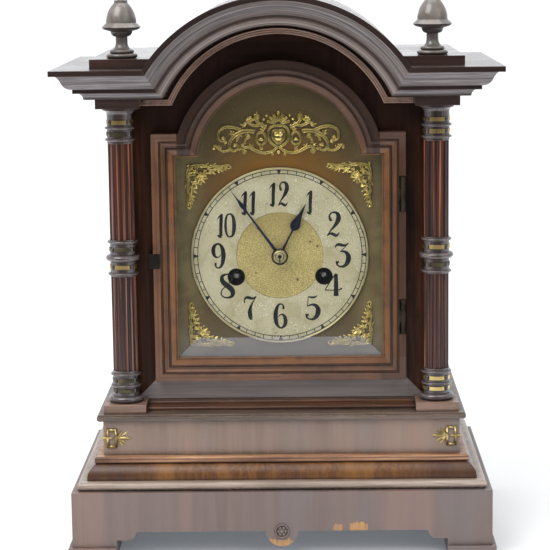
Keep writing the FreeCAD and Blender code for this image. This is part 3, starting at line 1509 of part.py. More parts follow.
# Hands' work between the dial and the front plate.
minute_phase = mesh_phase(centre_at, S.cannon_teeth, 0.0, minute_at, S.minute_wheel_teeth)
hour_phase = mesh_phase(minute_at, S.minute_pinion_teeth, 0.0, centre_at, S.hour_wheel_teeth)
wheel_level = S.motion_wheel.value
cannon = gear(S.cannon_teeth, S.motion_module, plate_y.value - 2.2 * wheel_level, 1.5 * wheel_level)
cannon = cannon.fuse(spindle(S.cannon_radius, minute_hand_y, plate_y.value - 2.2 * wheel_level))
cannon = cannon.cut(spindle(S.centre_arbor_radius + S.running_clearance, minute_hand_y, plate_y))
arbor_piece("cannon_pinion", centre_at, cannon)
minute_work = gear(S.minute_wheel_teeth, S.motion_module, plate_y.value - 1.9 * wheel_level,
                   wheel_level, minute_phase)
minute_work = minute_work.fuse(gear(S.minute_pinion_teeth, hour_module,
                                    plate_y.value - 4.5 * wheel_level, 2.6 * wheel_level))
minute_work = minute_work.cut(spindle(S.centre_arbor_radius + S.running_clearance,
                                      plate_y.value - 6 * wheel_level, plate_y))
arbor_piece("minute_wheel", minute_at, minute_work)
hour_work = gear(S.hour_wheel_teeth, hour_module, plate_y.value - 4 * wheel_level, wheel_level, hour_phase)
hour_work = hour_work.fuse(spindle(S.hour_pipe_radius, hour_hand_y, plate_y.value - 3.9 * wheel_level))
hour_work = hour_work.cut(spindle(S.cannon_radius + S.running_clearance, hour_hand_y, plate_y))
arbor_piece("hour_wheel", centre_at, hour_work)

# Going train from the escape wheel down to the barrel.
third_phase = mesh_phase(escape_at, S.escape_pinion_teeth, 0.0, third_at, S.third_wheel_teeth)
centre_phase = mesh_phase(third_at, S.third_pinion_teeth, 0.0, centre_at, S.centre_wheel_teeth)
second_phase = mesh_phase(centre_at, S.centre_pinion_teeth, 0.0, second_at, S.second_wheel_teeth)
barrel_phase = mesh_phase(second_at, S.second_pinion_teeth, 0.0, going_at, S.barrel_teeth)

escape_points = []
for number in range(int(S.escape_teeth.value)):
    for share, reach in ((-0.22, 0.84), (-0.02, 1.0), (0.02, 1.0), (0.16, 0.84)):
        angle = 2 * math.pi * (number + share) / S.escape_teeth.value
        escape_points.append((S.escape_radius.value * reach * math.sin(angle),
                              S.escape_radius.value * reach * math.cos(angle)))
escape_y = train_y.value + 26.0
escape_disc = flat_ring(escape_points, escape_y, S.train_wheel.value)
escape_disc = escape_disc.cut(crossings(S.escape_radius.value * 0.52, S.escape_radius.value * 0.2, 5,
                                        escape_y, S.train_wheel.value))
arbor_piece("escape_wheel", escape_at, between_plates(S.escape_arbor_radius).multiFuse([
    escape_disc, pinion(S.escape_pinion_teeth, S.escape_module, 10.5, 4.0, 0.0)]))
arbor_piece("third_wheel", third_at, between_plates(S.third_arbor_radius).multiFuse([
    wheel(S.third_wheel_teeth, S.escape_module, 12.0, third_phase),
    pinion(S.third_pinion_teeth, S.third_module, 0.6, 2.0, 0.0)]))
arbor_piece("centre_wheel", centre_at, between_plates(S.arbor_radius, S.centre_arbor_radius).multiFuse([
    wheel(S.centre_wheel_teeth, S.third_module, 0.9, centre_phase),
    spindle(S.centre_arbor_radius, minute_hand_y + S.end_shake, plate_y),
    pinion(S.centre_pinion_teeth, S.second_module, 30.5, 3.5, 0.0)]))
arbor_piece("second_wheel", second_at, between_plates(S.arbor_radius).multiFuse([
    wheel(S.second_wheel_teeth, S.second_module, 31.5, second_phase),
    pinion(S.second_pinion_teeth, S.barrel_module, 2.8, 3.2, 0.0)]))


def barrel(label, at, phase):
    """Spring barrel with its toothed rim, free on its winding arbor."""
    rim = gear(S.barrel_teeth, S.barrel_module, train_y + 3, S.great_wheel, phase)
    drum = spindle(S.drum_radius, train_y + 3, train_y + 3 + S.drum_length)
    hole = spindle(S.winding_arbor_radius + S.running_clearance, plate_y, rear_face_y)
    arbor_piece(label, at, rim.fuse(drum).cut(hole))


def winding_arbor(label, at):
    """Arbor of a barrel with its squared end behind the dial."""
    square_y = dial_y + S.dial_sheet + S.winding_recess
    side_half = float(S.winding_square) / 2.0
    corners = [(-side_half, -side_half), (side_half, -side_half), (side_half, side_half),
               (-side_half, side_half)]
    square = flat_ring(corners, float(square_y), float(plate_y - square_y))
    arbor_piece(label, at, square.fuse(spindle(S.winding_arbor_radius, plate_y - S.end_shake,
                                               rear_face_y + S.plate_sheet)))


barrel("going_barrel", going_at, barrel_phase)
barrel("strike_barrel", strike_at, 0.0)
winding_arbor("going_winding_arbor", going_at)
winding_arbor("strike_winding_arbor", strike_at)

# Anchor: a bow over the escape wheel with two nibs, its arbor and the crutch behind the plate.
bow_inner = S.escape_radius.value * 1.1
bow_outer = S.escape_radius.value * 1.27
drop = S.anchor_rise.value - S.escape_rise.value
half_span = math.radians(S.pallet_span.value / 2)
bow_points = []
for share in range(-10, 11):
    angle = half_span * 1.05 * share / 10.0
    bow_points.append((bow_outer * math.sin(angle), bow_outer * math.cos(angle) - drop))
for share in range(10, -11, -1):
    angle = half_span * 1.05 * share / 10.0
    bow_points.append((bow_inner * math.sin(angle), bow_inner * math.cos(angle) - drop))
anchor_y = escape_y + (S.train_wheel.value - S.anchor_sheet.value) / 2
bow = flat_ring(bow_points, anchor_y, S.anchor_sheet.value)
nib_reach = S.escape_radius.value + S.pallet_clearance.value
nib_half = S.pallet_width.value / 2
nibs = []
for side_sign in (-1, 1):
    reach_x, reach_z = side_sign * math.sin(half_span), math.cos(half_span)
    points = []
    for along, across in ((nib_reach, -nib_half), (nib_reach, nib_half),
                          (bow_outer - 0.5, nib_half), (bow_outer - 0.5, -nib_half)):
        points.append((reach_x * along + reach_z * across, reach_z * along - reach_x * across - drop))
    nibs.append(flat_ring(points, anchor_y, S.anchor_sheet.value))
crutch_y = rear_face_y.value + S.crutch_gap.value
slot_half = S.rod_radius.value + S.crutch_slot_gap.value
crutch_arm = flat_ring([(-1.2, 0), (1.2, 0), (1.2, -S.crutch_length.value), (-1.2, -S.crutch_length.value)],
                       crutch_y, 1.2)
fork_foot = flat_ring([(-slot_half - 1.2, -S.crutch_length.value), (slot_half + 1.2, -S.crutch_length.value),
                       (slot_half + 1.2, -S.crutch_length.value + 2.0),
                       (-slot_half - 1.2, -S.crutch_length.value + 2.0)], crutch_y, 1.2)
prong_reach = float(pendulum_y) + S.rod_radius.value * 2 - crutch_y
prongs = [flat_ring([(x, -S.crutch_length.value), (x + 1.2, -S.crutch_length.value),
                     (x + 1.2, -S.crutch_length.value + 2.0), (x, -S.crutch_length.value + 2.0)],
                    crutch_y, prong_reach) for x in (-slot_half - 1.2, slot_half)]
anchor_arbor = spindle(S.arbor_radius, train_y + S.end_shake, crutch_y + 1.2)
anchor_pivot = spindle(S.pivot_radius, plate_y, train_y + S.end_shake)
arbor_piece("pallet_anchor", anchor_at, anchor_arbor.multiFuse(
    [anchor_pivot, bow, crutch_arm, fork_foot] + nibs + prongs))

bob_path = [
    Step(-S.bob_depth / 2, 0),
    Step(S.bob_depth / 2, 0),
    Step(S.bob_depth / 4, S.bob_radius - S.bob_depth / 4),
    Step(0, S.bob_radius),
    Step(-S.bob_depth / 4, S.bob_radius - S.bob_depth / 4),
]
pendulum_top = dial_z + S.anchor_rise
bob_z = pendulum_top - S.pendulum_length
bob = swung("bob_turning", bob_path, (0, pendulum_y, bob_z))
rod_foot = bob_z - S.bob_radius - S.rod_radius * 5
pendulum_rod = upright_rod("pendulum_rod", 0, pendulum_y, rod_foot, S.rod_radius,
                           pendulum_top - rod_foot + S.rod_radius)
rating_nut = upright_rod("rating_nut", 0, pendulum_y, rod_foot + S.rod_radius, S.rod_radius * 3,
                         S.rod_radius * 2)
node("pendulum", fuse("pendulum_parts", bob, pendulum_rod, rating_nut))

# Strike hammer, coil gong and its post.
gong_y = pendulum_y + S.bob_depth / 2 + S.gong_gap
gong_z = dial_z - S.hammer_drop - S.hammer_arm_drop + S.hammer_head_radius
hammer_arbor = spindle(S.arbor_radius, train_y + S.end_shake, gong_y + S.arbor_radius)
hammer_pivot = spindle(S.pivot_radius, plate_y, train_y + S.end_shake)
hammer_arm = Part.makeCylinder(S.arbor_radius.value * 0.85, S.hammer_arm_drop.value,
                               FreeCAD.Vector(0, gong_y.value, 0), FreeCAD.Vector(0, 0, -1))
hammer_head = Part.makeCylinder(S.hammer_head_radius.value, S.hammer_head_length.value,
                                FreeCAD.Vector(-S.hammer_head_length.value / 2, gong_y.value,
                                               -S.hammer_arm_drop.value), FreeCAD.Vector(1, 0, 0))
arbor_piece("strike_hammer", hammer_at, hammer_arbor.multiFuse([hammer_pivot, hammer_arm, hammer_head]))

coil = []
half_turns = int(S.gong_turns.value * 2)
for number in range(half_turns):
    reach = S.gong_radius.value - number * S.gong_pitch.value / 2
    shift = -S.gong_pitch.value / 2 if number % 2 else 0.0
    sign = -1 if number % 2 else 1
    coil.append(Part.Arc(FreeCAD.Vector(shift + sign * reach, 0, 0), FreeCAD.Vector(shift, 0, sign * reach),
                         FreeCAD.Vector(shift - sign * reach, 0, 0)).toShape())
coil_end = S.gong_radius.value - S.gong_turns.value * S.gong_pitch.value
spine = Part.Wire(coil)
start = FreeCAD.Vector(S.gong_radius.value, 0, 0)
section = Part.Wire(Part.makeCircle(S.gong_wire.value, start, FreeCAD.Vector(0, 0, 1)))
gong_coil = spine.makePipeShell([section], True, True)
gong = solid_feature("gong_coil", gong_coil)
gong.Placement.Base = FreeCAD.Vector(0, gong_y.value, gong_z.value)
node("gong", gong)
post_half = S.gong_block / 2
post = box("gong_post_bar", -post_half, gong_y + S.gong_wire * 3, case_z, S.gong_block, post_half,
           gong_z - case_z + post_half)
post_arm = box("gong_post_arm", as_dim(coil_end) - S.gong_wire * 2, gong_y + S.gong_wire + S.glass_gap,
               gong_z - S.gong_wire * 2, S.gong_wire * 4, S.gong_wire * 2 + S.gong_block / 2,
               S.gong_wire * 4)
post_bridge = box("gong_post_bridge", 0, gong_y + S.gong_wire * 3, gong_z - S.gong_wire * 2,
                  as_dim(coil_end) + S.gong_wire * 2, post_half, S.gong_wire * 4)
node("gong_post", fuse("gong_post_parts", post, post_arm, post_bridge))

# ---------------------------------------------------------------- back of the case

rear_half = S.rear_door_width / 2
rear_z = case_z + S.rear_door_foot
opening_half = rear_half + S.rear_door_gap
back_panel = front_plate("back_panel", [
    Step(-inner_half, case_z), Step(inner_half, case_z), Step(inner_half, case_top),
    Step(head_reach, case_top), Step(-head_reach, case_top, head_radius),
    Step(-inner_half, case_top)], back_board_y, S.back_board)
back_opening = box("back_opening", -opening_half, back_board_y, rear_z - S.rear_door_gap,
                   opening_half * 2, S.back_board, S.rear_door_height + S.rear_door_gap * 2)
node("back_frame", cut("back_frame_cut", back_panel, back_opening))
node("rear_door", box("rear_door_board", -rear_half, back_board_y, rear_z, S.rear_door_width,
                      S.back_board, S.rear_door_height))

rear_pin_x = -rear_half - S.rear_door_gap / 2
rear_pin_y = back_face + S.rear_knuckle_radius + S.end_shake
rear_fittings = []
for number, level in enumerate((rear_z + S.rear_hinge_inset,
                                rear_z + S.rear_door_height - S.rear_hinge_inset)):
    low = level - S.rear_hinge_length / 2
    third = S.rear_hinge_length / 3
    knuckle = third - S.hinge_end_gap * 2
    tag = "rear_hinge_%d_" % number
    wing = box(tag + "wing", rear_pin_x + S.rear_knuckle_radius, back_face, low,
               S.rear_leaf_width, S.rear_leaf, S.rear_hinge_length)
    bridge = box(tag + "bridge", rear_pin_x, back_face + S.end_shake, level - knuckle / 2,
                 S.rear_knuckle_radius * 2, S.rear_leaf, knuckle)
    middle = upright_rod(tag + "middle", rear_pin_x, rear_pin_y, level - knuckle / 2,
                         S.rear_knuckle_radius, knuckle)
    reach_back = box(tag + "clear", rear_pin_x - S.rear_knuckle_radius * 3, back_face - 1,
                     level - knuckle / 2 - S.hinge_end_gap, S.rear_knuckle_radius * 3,
                     S.rear_knuckle_radius * 3, third)
    running_bore = upright_rod(tag + "running_bore", rear_pin_x, rear_pin_y, low,
                               S.hinge_pin_radius + S.hinge_clearance, S.rear_hinge_length)
    pin_bore = upright_rod(tag + "pin_bore", rear_pin_x, rear_pin_y, low,
                           S.hinge_pin_radius + S.glass_gap, S.rear_hinge_length)
    pin = upright_rod(tag + "pin", rear_pin_x, rear_pin_y, low, S.hinge_pin_radius,
                      S.rear_hinge_length)
    rear_fittings.append(cut(tag + "door_leaf", fuse(tag + "door_leaf_blank", wing, bridge, middle),
                             running_bore))
    fixed_wing = box(tag + "fixed_wing", rear_pin_x - S.rear_knuckle_radius * 0.8 - S.rear_leaf_width,
                     back_face, low, S.rear_leaf_width, S.rear_leaf, S.rear_hinge_length)
    fixed_bridge = box(tag + "fixed_bridge", rear_pin_x - S.rear_knuckle_radius * 2,
                       back_face + S.end_shake, low, S.rear_knuckle_radius * 2, S.rear_leaf,
                       S.rear_hinge_length)
    barrel_rod = upright_rod(tag + "fixed_knuckle", rear_pin_x, rear_pin_y, low,
                             S.rear_knuckle_radius, S.rear_hinge_length)
    middle_space = box(tag + "middle_space", rear_pin_x - S.rear_knuckle_radius * 1.5,
                       back_face - 1, level - third / 2, S.rear_knuckle_radius * 3,
                       S.rear_knuckle_radius * 4, third)
    case_leaves += [cut(tag + "case_leaf", fuse(tag + "case_leaf_blank", fixed_wing, fixed_bridge,
                                                barrel_rod), pin_bore, middle_space), pin]
node("case_hinge_leaves", group("case_leaf_set", *case_leaves))

knob_neck = S.rear_knob_radius / 2
knob_path = [
    Step(0, 0),
    Step(knob_neck, 0),
    Step(knob_neck, S.rear_knob_depth / 3),
    Step(S.rear_knob_radius, S.rear_knob_depth * 2 / 3),
    Step(S.rear_knob_radius - S.rear_knob_depth / 3, S.rear_knob_depth, S.rear_knob_depth / 3),
    Step(0, S.rear_knob_depth),
]
rear_knob = turned("rear_knob", knob_path)
put(rear_knob, rear_half - S.rear_leaf_width, back_face, rear_z + S.rear_door_height / 2, ALONG_Y)
node("rear_door_fittings", group("rear_fitting_set", *(rear_fittings + [rear_knob])))

# ---------------------------------------------------------------- checks and files

doc.recompute()
faults = [item.Name for item in doc.Objects if "Invalid" in item.State or "Error" in item.State]
if faults:
    raise RuntimeError("not computed: %s" % ", ".join(faults))
for item in NODES:
    if item.Shape.isNull() or not item.Shape.isValid() or not item.Shape.Solids:
        raise RuntimeError("no sound solid: %s" % item.Label)
os.makedirs("parts", exist_ok=True)
for item in NODES:
    item.Shape.exportStep("parts/%s.step" % item.Label)
print("%d parts written" % len(NODES))
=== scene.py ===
"""Dresses the mantel clock: a finish for every solid, the carved, engraved and cast pieces, light and camera."""
import json
import logging
import math
from dataclasses import dataclass, field
from enum import Enum
from typing import ClassVar

import bmesh
import bpy
from mathutils import Matrix, Vector

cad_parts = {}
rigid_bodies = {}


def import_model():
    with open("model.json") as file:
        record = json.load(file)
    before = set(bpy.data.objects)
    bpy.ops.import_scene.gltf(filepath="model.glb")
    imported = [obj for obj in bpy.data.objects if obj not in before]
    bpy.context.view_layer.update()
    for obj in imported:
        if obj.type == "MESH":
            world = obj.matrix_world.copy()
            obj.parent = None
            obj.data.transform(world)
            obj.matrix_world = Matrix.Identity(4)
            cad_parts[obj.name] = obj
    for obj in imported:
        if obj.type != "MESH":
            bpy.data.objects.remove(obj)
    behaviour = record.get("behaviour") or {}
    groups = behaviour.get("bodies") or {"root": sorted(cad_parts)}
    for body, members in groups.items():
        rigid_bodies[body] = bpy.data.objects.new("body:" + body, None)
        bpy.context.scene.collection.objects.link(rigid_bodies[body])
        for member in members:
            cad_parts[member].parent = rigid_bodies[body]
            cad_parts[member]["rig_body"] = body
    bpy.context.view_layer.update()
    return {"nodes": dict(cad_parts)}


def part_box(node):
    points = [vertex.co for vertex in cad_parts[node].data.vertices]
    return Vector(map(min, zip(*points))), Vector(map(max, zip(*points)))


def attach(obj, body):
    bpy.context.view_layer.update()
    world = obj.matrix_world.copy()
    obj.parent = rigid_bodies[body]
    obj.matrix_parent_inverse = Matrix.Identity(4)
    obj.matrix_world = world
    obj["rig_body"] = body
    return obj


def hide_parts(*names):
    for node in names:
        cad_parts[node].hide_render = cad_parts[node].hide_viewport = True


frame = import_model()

LOG = logging.getLogger("mantel_clock")
MM = 0.001
# Lengths of the solids that no box gives, in millimetres.
DOOR_RADIUS = 82.0
DOOR_SHOULDER = 195.6
HOOD_RADIUS = 120.5
BASE_RADIUS = 13.7
Colour = tuple[float, float, float]
Socket = bpy.types.NodeSocket
Node = bpy.types.Node
Shape = bmesh.types.BMesh
Value = Socket | float | tuple[float, ...] | None


# ---------------------------------------------------------------- places on the solids

@dataclass(frozen=True)
class ClockSizes:
    """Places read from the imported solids, in metres."""

    dial_centre: float
    ring_face: float
    plate_face: float
    glass_face: float
    door_half: float
    door_foot: float
    door_shoulder: float
    door_arch: float
    hood_centre: float

    @classmethod
    def measured(cls) -> "ClockSizes":
        """Reads the places from the solids' boxes.

        Returns:
            The places.
        """
        ring_low, ring_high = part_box("chapter_ring")
        door_low, door_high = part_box("door_frame")
        return cls(
            dial_centre=(ring_low.z + ring_high.z) / 2, ring_face=ring_low.y, plate_face=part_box("dial_plate")[0].y,
            glass_face=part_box("door_glass")[0].y, door_half=door_high.x, door_foot=door_low.z,
            door_shoulder=door_low.z + DOOR_SHOULDER * MM, door_arch=door_high.z - DOOR_RADIUS * MM,
            hood_centre=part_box("cornice_arch")[1].z - HOOD_RADIUS * MM)


SIZES = ClockSizes.measured()


# ---------------------------------------------------------------- shader trees

class Tree:
    """Places nodes in one shader tree and joins their sockets."""

    def __init__(self, tree: bpy.types.NodeTree) -> None:
        """Keeps the tree that the nodes go into."""
        self.tree = tree
        self.shader: Node | None = None
        self.output: Node | None = None

    def add(self, kind: str, inputs: dict | None = None, **settings: object) -> Node:
        """Places one node.

        Args:
            kind: The node's type, without its "ShaderNode" start.
            inputs: Values or sockets by input name or number.
            **settings: Properties set on the node first.

        Returns:
            The new node.
        """
        node = self.tree.nodes.new("ShaderNode" + kind)
        for name, value in settings.items():
            setattr(node, name, value)
        for key, value in (inputs or {}).items():
            self.feed(node.inputs[key], value)
        return node

    def feed(self, socket: Socket, value: Value) -> None:
        """Joins a socket to another, or sets its plain value.

        Args:
            socket: The input.
            value: A socket to join it to, or its plain value.
        """
        if isinstance(value, Socket):
            self.tree.links.new(value, socket)
        elif socket.type == "RGBA" and len(value) == 3:
            socket.default_value = (*value, 1.0)
        else:
            socket.default_value = value

    def paint(self, name: str, value: Value) -> None:
        """Feeds an input of the material's own shader."""
        self.feed(self.shader.inputs[name], value)

    def math(self, operation: str, first: Value, second: Value = 0.0, third: Value = 0.0) -> Socket:
        """Returns the result of a Math node."""
        return self.add("Math", {0: first, 1: second, 2: third}, operation=operation).outputs[0]

    def times(self, first: Value, second: Value) -> Socket:
        """Returns two numbers multiplied."""
        return self.math("MULTIPLY", first, second)

    def minus(self, first: Value, second: Value) -> Socket:
        """Returns the first number less the second."""
        return self.math("SUBTRACT", first, second)

    def bare(self, number: Value) -> Socket:
        """Returns a number without its sign."""
        return self.math("ABSOLUTE", number)

    def reach(self, across: Value, up: Value) -> Socket:
        """Returns the distance that two lengths at right angles make."""
        return self.math("SQRT", self.math("ADD", self.times(across, across), self.times(up, up)))

    def vector(self, operation: str, first: Value, second: Value) -> Socket:
        """Returns the vector result of a Vector Math node."""
        return self.add("VectorMath", {0: first, 1: second}, operation=operation).outputs[0]

    def mix(self, factor: Value, first: Value, second: Value, blend: str = "MIX") -> Socket:
        """Returns two colours mixed.

        Args:
            factor: The share of the second.
            first: The first colour.
            second: The second colour.
            blend: How they mix.

        Returns:
            The mixed colour.
        """
        node = self.add("Mix", data_type="RGBA", blend_type=blend)
        for index, value in ((0, factor), (6, first), (7, second)):
            self.feed(node.inputs[index], value)
        return node.outputs[2]

    def choose(self, mask: Value, first: Value, second: Value) -> Socket:
        """Returns the first vector where the mask is 0 and the second where it is 1.

        Args:
            mask: 0 or 1.
            first: The vector for 0.
            second: The vector for 1.

        Returns:
            The chosen vector.
        """
        node = self.add("Mix", data_type="VECTOR")
        for index, value in ((0, mask), (4, first), (5, second)):
            self.feed(node.inputs[index], value)
        return node.outputs[1]

    def ramp(self, factor: Value, stops: list[tuple[float, Colour]]) -> Socket:
        """Returns a colour ramp's colour.

        Args:
            factor: The place along the ramp.
            stops: Each stop's place and colour.

        Returns:
            The ramp's colour.
        """
        node = self.add("ValToRGB", {0: factor})
        elements = node.color_ramp.elements
        while len(elements) < len(stops):
            elements.new(0.5)
        for element, (position, colour) in zip(elements, stops):
            element.position = position
            element.color = (*colour, 1.0)
        return node.outputs[0]

    def band(self, value: Value, low: float, high: float, out_low: float = 0.0, out_high: float = 1.0) -> Socket:
        """Returns a value carried smoothly from one range to another, held at the ends."""
        return self.add("MapRange", {0: value, 1: low, 2: high, 3: out_low, 4: out_high},
                        interpolation_type="SMOOTHSTEP").outputs[0]

    def noise(self, vector: Value, scale: Value, detail: float = 3.0, roughness: float = 0.5,
              distortion: float = 0.0) -> Socket:
        """Returns a noise texture's value."""
        return self.add("TexNoise", {"Vector": vector, "Scale": scale, "Detail": detail, "Roughness": roughness,
                                     "Distortion": distortion}).outputs[0]

    def split(self, vector: Value) -> tuple[Socket, ...]:
        """Returns the three parts of a vector."""
        return tuple(self.add("SeparateXYZ", {0: vector}).outputs)

    def join(self, x: Value, y: Value, z: Value) -> Socket:
        """Returns a vector made of three parts."""
        return self.add("CombineXYZ", {0: x, 1: y, 2: z}).outputs[0]

    def place(self) -> Socket:
        """Returns the point on the surface, in millimetres."""
        return self.vector("MULTIPLY", self.add("TexCoord").outputs["Object"], (1000.0, 1000.0, 1000.0))

    def bump(self, height: Value, distance: float, strength: float = 1.0, normal: Value = None) -> Socket:
        """Returns a normal raised by a height, its distance in millimetres.

        Args:
            height: The height.
            distance: What a height of 1 stands for, in millimetres.
            strength: The share of it that shows.
            normal: The normal under it.

        Returns:
            The raised normal.
        """
        node = self.add("Bump", {"Height": height, "Distance": distance * MM, "Strength": strength})
        if normal is not None:
            self.feed(node.inputs["Normal"], normal)
        return node.outputs[0]


class Effect:
    """A shader node group that several finishes share."""

    made: dict[str, bpy.types.NodeTree] = {}

    def __init__(self, name: str, inputs: dict[str, tuple[str, Value]], outputs: dict[str, str]) -> None:
        """Makes the group's sockets.

        Args:
            name: The group's name.
            inputs: Socket type and default value by name.
            outputs: Socket type by name.
        """
        self.group = bpy.data.node_groups.new(name, "ShaderNodeTree")
        Effect.made[name] = self.group
        for socket, (kind, default) in inputs.items():
            made = self.group.interface.new_socket(name=socket, in_out="INPUT", socket_type="NodeSocket" + kind)
            if kind != "Vector":
                made.default_value = default
        for socket, kind in outputs.items():
            self.group.interface.new_socket(name=socket, in_out="OUTPUT", socket_type="NodeSocket" + kind)
        self.tree = Tree(self.group)
        self.given = self.group.nodes.new("NodeGroupInput").outputs
        self.result = self.group.nodes.new("NodeGroupOutput").inputs

    def give(self, **results: Socket) -> None:
        """Joins the group's results to its outputs, by name."""
        for name, socket in results.items():
            self.tree.feed(self.result[name], socket)

    @staticmethod
    def use(tree: Tree, name: str, **inputs: Value) -> bpy.types.bpy_prop_collection:
        """Places a shared effect in a material and returns its outputs.

        Args:
            tree: The material's tree.
            name: The effect's name.
            **inputs: Its inputs by name.

        Returns:
            Its outputs, by name.
        """
        node = tree.add("Group", node_tree=Effect.made[name])
        for key, value in inputs.items():
            tree.feed(node.inputs[key], value)
        return node.outputs


def make_effects() -> None:
    """Builds the effects that several finishes share."""
    grain = Effect("wood_grain", {"Vector": ("Vector", None), "Scale": ("Float", 0.2), "Stretch": ("Float", 0.06)},
                   {"Figure": "Float", "Fibre": "Float", "Pores": "Float"})
    t = grain.tree
    drawn = t.vector("MULTIPLY", grain.given["Vector"], t.join(grain.given["Stretch"], 1.0, 1.0))
    finer = t.vector("MULTIPLY", drawn, (0.5, 1.0, 1.0))
    figure = t.noise(drawn, grain.given["Scale"], 4.0, 0.55, 0.7)
    fibre = t.noise(finer, t.times(grain.given["Scale"], 9.0), 3.0, 0.6)
    pores = t.noise(finer, t.times(grain.given["Scale"], 26.0), 1.0, 0.5)
    grain.give(Figure=t.band(figure, 0.28, 0.72), Fibre=fibre, Pores=t.band(pores, 0.58, 0.72))

    edges = Effect("rubbed_edges", {"Vector": ("Vector", None), "Radius": ("Float", 0.001), "Reach": ("Float", 0.5)},
                   {"Mask": "Float", "Normal": "Vector"})
    t = edges.tree
    rounded = t.add("Bevel", {"Radius": edges.given["Radius"]}, samples=6).outputs[0]
    turn = t.add("VectorMath", {0: rounded, 1: t.add("NewGeometry").outputs["Normal"]},
                 operation="DOT_PRODUCT").outputs["Value"]
    sharp = t.band(t.minus(1.0, turn), 0.01, 0.16)
    broken = t.band(t.noise(edges.given["Vector"], 0.12, 4.0, 0.7), 0.36, 0.62)
    edges.give(Mask=t.times(t.times(sharp, broken), edges.given["Reach"]), Normal=rounded)

    # Darkens where ambient occlusion finds the surface closed in: dirt, and painted shade in the hollows and creases.
    grime_and_shade = Effect(
        "grime_and_shade", {"Vector": ("Vector", None), "Reach": ("Float", 0.004), "Amount": ("Float", 0.6)}, {"Mask": "Float"})
    t = grime_and_shade.tree
    open_air = t.add("AmbientOcclusion", {"Distance": grime_and_shade.given["Reach"]}, samples=6).outputs["AO"]
    shut = t.band(open_air, 0.35, 0.95, 1.0, 0.0)
    uneven = t.band(t.noise(grime_and_shade.given["Vector"], 0.3, 3.0), 0.25, 0.6, 0.55, 1.0)
    grime_and_shade.give(Mask=t.times(t.times(shut, uneven), grime_and_shade.given["Amount"]))

    patina = Effect(
        "patina", {"Vector": ("Vector", None), "Scale": ("Float", 0.03)}, {"Cloud": "Float", "Specks": "Float"})
    t = patina.tree
    cloud = t.noise(patina.given["Vector"], patina.given["Scale"], 4.0, 0.6, 0.4)
    specks = t.noise(patina.given["Vector"], t.times(patina.given["Scale"], 26.0), 2.0, 0.7)
    patina.give(Cloud=t.band(cloud, 0.3, 0.7), Specks=t.band(specks, 0.62, 0.74))

    scroll = Effect("engraved_scroll", {"Vector": ("Vector", None), "Scale": ("Float", 0.1)}, {"Line": "Float"})
    t = scroll.tree
    warp = t.add("TexNoise", {"Vector": scroll.given["Vector"], "Scale": t.times(scroll.given["Scale"], 0.8),
                              "Detail": 1.0}).outputs["Color"]
    bent = t.vector("ADD", scroll.given["Vector"],
                    t.vector("MULTIPLY", t.vector("SUBTRACT", warp, (0.5, 0.5, 0.5)), (26.0, 26.0, 26.0)))
    rings = t.add("TexVoronoi", {"Vector": bent, "Scale": scroll.given["Scale"]}, feature="F1").outputs["Distance"]
    wave = t.math("SINE", t.times(rings, 34.0))
    scroll.give(Line=t.band(wave, 0.55, 0.95))


# ---------------------------------------------------------------- finishes

class Grain(Enum):
    """The way that the wood's grain runs on a piece."""

    BOARD = "along each board"
    UPRIGHT = "upright"
    FRAME = "along each rail of the case front"
    DOOR = "along each rail of the door"
    HOOD = "round the hood's arch"


@dataclass(frozen=True)
class Finish:
    """What each finish has: a name, and the record's slot that it stands for."""

    name: str
    slot: str
    built: ClassVar[dict[str, bpy.types.Material]] = {}

    def material(self) -> bpy.types.Material:
        """Returns the finish's material, built the first time.

        Returns:
            The material.
        """
        if self.name in Finish.built:
            return Finish.built[self.name]
        made = bpy.data.materials.new(self.name)
        Finish.built[self.name] = made
        made.use_nodes = True
        made.node_tree.nodes.clear()
        tree = Tree(made.node_tree)
        tree.shader = tree.add("BsdfPrincipled")
        tree.output = tree.add("OutputMaterial", {0: tree.shader.outputs[0]})
        self.dress(tree)
        return made

    def dress(self, tree: Tree) -> None:
        """Fills the material's tree."""
        raise NotImplementedError


